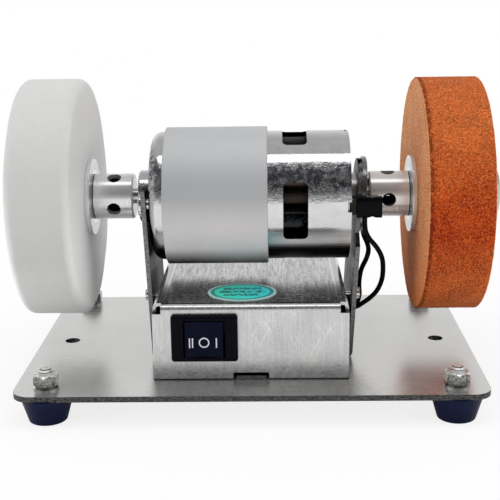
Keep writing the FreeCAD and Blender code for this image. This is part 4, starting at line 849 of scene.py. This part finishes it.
finishes["box_label"] = label.surface(Base_Color=teal, Roughness=0.35, Coat_Weight=0.5,
                                      Coat_Roughness=0.1)
print("label is", round(half.x * 2, 1), "by", round(half.y * 2, 1), "mm")

# %% [markdown]
# Each part now takes its finish. It keeps its own mesh; only the material in its slot changes.

# %% Dress the parts
for name, material in finishes.items():
    mesh = parts[name].data
    mesh.materials.clear()
    mesh.materials.append(material)
print("dressed", len(finishes), "of", len(parts), "parts")

# %% [markdown]
# Some pieces have a surface too rough for a plain solid, so they get their own mesh. One helper puts a
# mesh on its body, in place of its part. One builds a mesh and lets a small function work on it. One
# turns a closed profile about the shaft's axis and raises each point along its normal.

# %% Mesh helpers
def link_piece(name, mesh, body, slot, *stands_for):
    made = bpy.data.objects.new(name, mesh)
    bpy.context.scene.collection.objects.link(made)
    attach(made, body)
    if stands_for:
        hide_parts(*stands_for)


def worked(name, points, faces, work):
    """A mesh of these points and faces, after work(shape) has changed it."""
    mesh = bpy.data.meshes.new(name)
    mesh.from_pydata(points, [], faces)
    shape = bmesh.new()
    shape.from_mesh(mesh)
    work(shape)
    shape.to_mesh(mesh)
    shape.free()
    return mesh


def lathe(name, profile, around, height):
    """Turn a closed (x, radius) profile about the shaft, then raise each point by height(point)."""
    rings = len(profile)
    points = []
    for step in range(around):
        turn = 2 * math.pi * step / around
        for along, radius in profile:
            points.append((along, radius * math.cos(turn), radius * math.sin(turn)))
    faces = []
    for step in range(around):
        following = (step + 1) % around
        for ring in range(rings):
            after = (ring + 1) % rings
            faces.append((step * rings + ring, step * rings + after,
                          following * rings + after, following * rings + ring))

    def raise_points(shape):
        bmesh.ops.recalc_face_normals(shape, faces=shape.faces)
        shape.normal_update()
        moves = [vertex.normal * height(vertex.co) for vertex in shape.verts]
        for vertex, move in zip(shape.verts, moves):
            vertex.co += move
            vertex.co.z += AXIS_LEVEL

    mesh = worked(name, points, faces, raise_points)
    for face in mesh.polygons:
        face.use_smooth = True
    print(name, len(points), "points")
    return mesh


def run(start, end, step):
    """Points from start up to but not including end, about one step apart."""
    count = max(1, round(math.dist(start, end) / step))
    return [(start[0] + (end[0] - start[0]) * index / count,
             start[1] + (end[1] - start[1]) * index / count) for index in range(count)]


def relief(point, fineness, rise):
    """A random height at a point. Fineness is lumps per metre, rise the most that they add."""
    return noise.noise(point * fineness) * rise


# %% [markdown]
# The felt wheel is pressed wool. Its edges are rounded, its faces are not quite flat, and short fibres
# stand up everywhere. The mesh carries the slow unevenness, the finish carries the fibres as bump and
# a soft sheen. Light and shade are painted into the colour: the tread is painted greyer at the height of
# the shaft and whiter low down, and the faces are painted whitest in their lower half. The seat under the
# flange is left flat.

# %% Felt wheel
low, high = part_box("white_felt_wheel")
FELT_ROUND = 0.0026
CORNER_STEPS = 7
BORE_RADIUS = 0.00505
BORE_STEP = 0.003
SEAT_RADIUS = 0.0135
FELT_STEP = 0.0016
FELT_SINK = 0.00006  # keeps the raised fibres inside the wheel's size
felt_near, felt_far = high.x, low.x
felt_radius = (high.z - low.z) / 2


def rounded_corner(middle, start):
    """A quarter turn along the felt's edge, from the angle start, in degrees."""
    turns = [math.radians(start + 90 * index / CORNER_STEPS) for index in range(CORNER_STEPS)]
    return [(middle + FELT_ROUND * math.cos(turn),
             felt_radius - FELT_ROUND + FELT_ROUND * math.sin(turn)) for turn in turns]


felt_profile = (
    run((felt_near, BORE_RADIUS), (felt_near, felt_radius - FELT_ROUND), FELT_STEP)
    + rounded_corner(felt_near - FELT_ROUND, 0)
    + run((felt_near - FELT_ROUND, felt_radius), (felt_far + FELT_ROUND, felt_radius), FELT_STEP)
    + rounded_corner(felt_far + FELT_ROUND, 90)
    + run((felt_far, felt_radius - FELT_ROUND), (felt_far, BORE_RADIUS), FELT_STEP)
    + run((felt_far, BORE_RADIUS), (felt_near, BORE_RADIUS), BORE_STEP))


def felt_height(point):
    if math.hypot(point.y, point.z) < SEAT_RADIUS:
        return 0.0
    return relief(point, 70, 0.00016) + relief(point, 420, 0.00005) - FELT_SINK


felt_mesh = lathe("felt_wheel", felt_profile, 200, felt_height)
link_piece("felt_wheel", felt_mesh, "rotor", "felt_white", "white_felt_wheel")

felt = Finish("pressed_wool")
place = felt.place()
fibre = felt.grain(place, 2.6, 4.0, 0.75)
matted = felt.grain(place, 0.45, 4.0, 0.6)
cloud = felt.grain(place, 0.06, 2.0)
wool = felt.colours((fibre * 0.5 + matted * 0.3 + cloud * 0.2).ramp(0.3, 0.7),
                    (0.60, 0.60, 0.595), (0.70, 0.70, 0.69))
tall = felt.split(place)[2] - AXIS_LEVEL * MM
drop = tall * -1
face = facing(felt, 0)
# painted light and shade: greyer tread at shaft height, whiter low down, whitest lower faces
greyer = 1 - (abs(tall) / (felt_radius * MM)).ramp(0.35, 0.95)
wool = felt.colours(greyer * (1 - face) * 0.6, wool, (0.50, 0.50, 0.495))
wool = felt.colours((1 - face) * drop.ramp(12, 40) * 0.5, wool, (0.90, 0.90, 0.89))
wool = felt.colours(face * drop.ramp(-14, 20), wool, (0.99, 0.99, 0.98))
felt_mesh.materials.append(felt.surface(
    Base_Color=wool, Roughness=0.92, Sheen_Weight=0.25, Sheen_Roughness=0.5, Specular_IOR_Level=0.2,
    Normal=felt.bump(fibre + matted, 0.55, 0.00018)))

# %% [markdown]
# The stone is grit in a red-orange bond. Its grains are a third of a millimetre across, so each mesh
# point stands at its own height, and the finish adds smaller grains: dark pits, pale chips, and a few
# facets that catch the light. Its edges are crisp. The sides are dusty and paler, most of all near the
# top; lower down they are painted a deeper orange for the light that the plate throws back at them. The
# tread is painted darker around the height of the shaft and lighter above and below it, as painted shade
# and light, and a broken dark line follows its inner edge. The sides are dusty and paler, most of all near
# the
# top. The tread is darker around the height of the shaft, and a broken dark line follows its inner edge.

# %% Stone wheel
low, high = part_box("orange_abrasive_wheel")
stone_near, stone_far = low.x, high.x
stone_radius = (high.z - low.z) / 2
EDGE = 0.0005
STONE_SINK = 0.00005
stone_corners = [
    (stone_near, BORE_RADIUS), (stone_near, stone_radius - EDGE), (stone_near + EDGE, stone_radius),
    (stone_far - EDGE, stone_radius), (stone_far, stone_radius - EDGE), (stone_far, BORE_RADIUS)]
stone_steps = (0.0007, 0.0004, 0.0005, 0.0004, 0.0007, BORE_STEP)
stone_profile = []
for start, end, step in zip(stone_corners, stone_corners[1:] + stone_corners[:1], stone_steps):
    stone_profile.extend(run(start, end, step))


def stone_height(point):
    if math.hypot(point.y, point.z) < SEAT_RADIUS:
        return 0.0
    return relief(point, 1500, 0.00008) + relief(point, 650, 0.00005) - STONE_SINK


stone_mesh = lathe("stone_wheel", stone_profile, 420, stone_height)
link_piece("stone_wheel", stone_mesh, "rotor", "abrasive_orange", "orange_abrasive_wheel")

stone = Finish("bonded_grit")
place = stone.place()
along, across, tall = stone.split(place)
tall = tall - AXIS_LEVEL * MM
grit_tone, grit_other, _ = stone.cells(place, 2.6)
small = stone.grain(place, 1.9, 3.0, 0.75)
cloud = stone.grain(place, 0.12, 3.0)
grains = (small * 0.85 + cloud * 0.15).ramp(0.40, 0.62)
bond = stone.colours(grains, (0.12, 0.007, 0.001), (0.84, 0.15, 0.02))
bond = stone.colours(grit_tone.above(0.80) * 0.30, bond, (0.95, 0.34, 0.09))
bond = stone.colours(grit_other.above(0.80) * 0.40, bond, (0.16, 0.018, 0.002))
inner_side = stone_near * MM
dusty = along.below(inner_side + 0.25) + along.above(stone_far * MM - 0.25)
side_bond = stone.colours(grains, (0.48, 0.12, 0.035), (1.0, 0.54, 0.26))
# painted light: the low part of each side takes a deeper orange for the light from the plate
side_bond = stone.colours((tall * -1).ramp(0, 40) * 0.75, side_bond, (1.0, 0.215, 0.03))
bond = stone.colours(dusty * 0.92, bond, side_bond)
reach = (across * across + tall * tall) ** 0.5
inner_edge = along.ramp(inner_side + 0.1, inner_side + 0.4)
inner_edge = inner_edge * (1 - along.ramp(inner_side + 1.0, inner_side + 1.7))
broken = stone.grain(place, 0.9, 2.0).ramp(0.34, 0.50)
edge_line = inner_edge * reach.above(stone_radius * MM - 0.8) * broken
# painted shade and light: tread darker around shaft height, lighter above and below
darker = 1 - (abs(tall + 2) / (stone_radius * MM)).ramp(0.10, 0.75)
bond = stone.colours(darker * (1 - dusty) * 0.42, bond, (0.30, 0.010, 0.001))
bond = stone.colours((1 - darker) * (1 - dusty) * 0.16, bond, (0.95, 0.36, 0.12))
bond = stone.colours(edge_line * 0.7, bond, (0.11, 0.014, 0.003))
stone_mesh.materials.append(stone.surface(
    Base_Color=bond, Roughness=(0.85 - grit_tone.above(0.93) * 0.6).clamped(), Specular_IOR_Level=0.12,
    Normal=stone.bump(small + grit_tone * 0.6, 0.8, 0.00022)))

# %% [markdown]
# A three-way rocker carries two bars, a ring and one bar, printed in white. The print follows the hollow
# face, so each mark is a thin strip of mesh laid a few hundredths of a millimetre above it, riding with
# the rocker. Distances in this cell are in millimetres from the middle of the rocker's face.

# %% Rocker marks
low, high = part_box("switch_rocker")
rocker_middle = Vector(((low.x + high.x) / 2, low.y, (low.z + high.z) / 2))
ROCKER_FACE = ((-5.75, 0.0), (-2.875, 0.45), (0.0, 0.6), (2.875, 0.45), (5.75, 0.0))
MARK_LIFT = 0.04
MARK_DROP = 0.8
BAR_TALL = 3.1
BAR_STEPS = 6
INK_THICK = 0.02


def face_depth(across):
    """How far the face lies behind its outer edges, in millimetres, at a distance from its middle."""
    for (near, shallow), (far, deep) in zip(ROCKER_FACE, ROCKER_FACE[1:]):
        if near <= across <= far:
            return shallow + (deep - shallow) * (across - near) / (far - near)
    return 0.0


def strip(outer, inner, closed):
    """Faces between two rows of (across, up) points, laid on the rocker's face."""
    places = []
    for across, rise in outer + inner:
        laid = Vector((across, face_depth(across) - MARK_LIFT, rise - MARK_DROP))
        places.append(rocker_middle + laid / MM)
    count = len(outer)
    pairs = range(count if closed else count - 1)
    faces = [(step, (step + 1) % count, count + (step + 1) % count, count + step) for step in pairs]
    return places, faces


def bar(middle, wide):
    left, right = middle - wide / 2, middle + wide / 2
    steps = [index / BAR_STEPS * BAR_TALL - BAR_TALL / 2 for index in range(BAR_STEPS + 1)]
    return strip([(left, rise) for rise in steps], [(right, rise) for rise in steps], False)


def circle_points(radius, count=40):
    turns = [2 * math.pi * step / count for step in range(count)]
    return [(radius * math.cos(turn), radius * math.sin(turn)) for turn in turns]


points, faces = [], []
for places, corners in (bar(-4.40, 0.36), bar(-3.50, 0.36), bar(3.75, 0.38),
                        strip(circle_points(1.62), circle_points(1.24), True)):
    start = len(points)
    points.extend(places)
    faces.extend(tuple(start + corner for corner in face) for face in corners)


def give_thickness(shape):
    for face in shape.faces:
        face.normal_update()
        if face.normal.y > 0:
            face.normal_flip()
    bmesh.ops.solidify(shape, geom=shape.faces[:], thickness=-INK_THICK / MM)


marks_mesh = worked("rocker_marks", points, faces, give_thickness)
ink = Finish("white_ink")
speck = ink.grain(ink.place(), 4.0, 2.0)
white_ink = ink.colours(speck.ramp(0.2, 0.8), (0.62, 0.63, 0.66), (0.78, 0.79, 0.82))
marks_mesh.materials.append(ink.surface(Base_Color=white_ink, Roughness=0.5))
link_piece("rocker_marks", marks_mesh, "rocker", "rocker_black")
print("marks:", len(faces), "faces on the rocker")

# %% [markdown]
# Heat-shrink tube grips the blade and the soldered joint: flat over the blade, wrinkled where it shrank
# most, and open at its cut end. It is lofted from squared ovals that narrow at each wrinkle, and the
# last ring folds inward to show the thickness of the tube.

# %% Heat-shrink sleeves
low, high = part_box("heat_shrink_sleeves")
SLEEVE_HALF_Y = 0.0016
SLEEVE_SWELL = 1.12    # the joint inside spreads the tube past the plain box
SLEEVE_SNUG = 0.97
SLEEVE_BORE = 0.72     # the hole at the cut end, as a share of the tube
SQUARENESS = 0.55      # below 1, an oval grows corners
RIPPLE = 0.018
sleeve_middle_z = (low.z + high.z) / 2
sleeve_half_z = (high.z - low.z) / 2 * SLEEVE_SWELL


def hollow(share, middle, width, depth):
    """A smooth wrinkle around the tube at one share of its length."""
    return depth * math.exp(-((share - middle) / width) ** 2)


def squared(value):
    return abs(value) ** SQUARENESS * math.copysign(1, value)


def sleeve(name, side):
    around, along = 40, 34
    centre_y = (high.y - SLEEVE_HALF_Y) * side
    points = []
    for ring in range(along + 1):
        share = ring / along
        x = low.x + (high.x - low.x) * share
        pinch = 1 - hollow(share, 0.62, 0.10, 0.10) - hollow(share, 0.25, 0.07, 0.05)
        for step in range(around):
            turn = 2 * math.pi * step / around
            cosine, sine = math.cos(turn), math.sin(turn)
            ripple = 1 + RIPPLE * noise.noise(Vector((x * 900, cosine * 1.5, sine * 1.5 + side)))
            size = pinch * ripple * SLEEVE_SNUG
            points.append((x, centre_y + squared(cosine) * SLEEVE_HALF_Y * size,
                           sleeve_middle_z + squared(sine) * sleeve_half_z * size))
    inner = len(points)
    for ring in (along, along - 3):
        for step in range(around):
            outer = Vector(points[ring * around + step])
            heart = Vector((outer.x, centre_y, sleeve_middle_z))
            points.append(tuple(heart + (outer - heart) * SLEEVE_BORE))
    starts = [ring * around for ring in range(along + 1)] + [inner, inner + around]
    faces = []
    for start, after in zip(starts, starts[1:]):
        for step in range(around):
            following = (step + 1) % around
            faces.append((start + step, after + step, after + following, start + following))
    faces.append(tuple(inner + around + step for step in range(around)))
    faces.append(tuple(range(around)))
    mesh = worked(name, points, faces,
                  lambda shape: bmesh.ops.recalc_face_normals(shape, faces=shape.faces))
    for face in mesh.polygons:
        face.use_smooth = len(face.vertices) == 4
    mesh.materials.append(shrink_finish)
    return mesh


for name, side in (("front_shrink_sleeve", -1), ("rear_shrink_sleeve", 1)):
    link_piece(name, sleeve(name, side), "frame", "shrink_black", "heat_shrink_sleeves")
print("two sleeves over the motor's blades")

# %% [markdown]
# The colours should render as they are written, so the view stays on the plain standard transform.
# The last lines print the box of the solids.

# %% Sizes and finish
bpy.context.scene.view_settings.view_transform = "Standard"


def as_lists(box):
    return [[float(value) for value in corner] for corner in box]


print("box of the solids", as_lists(solid_box))
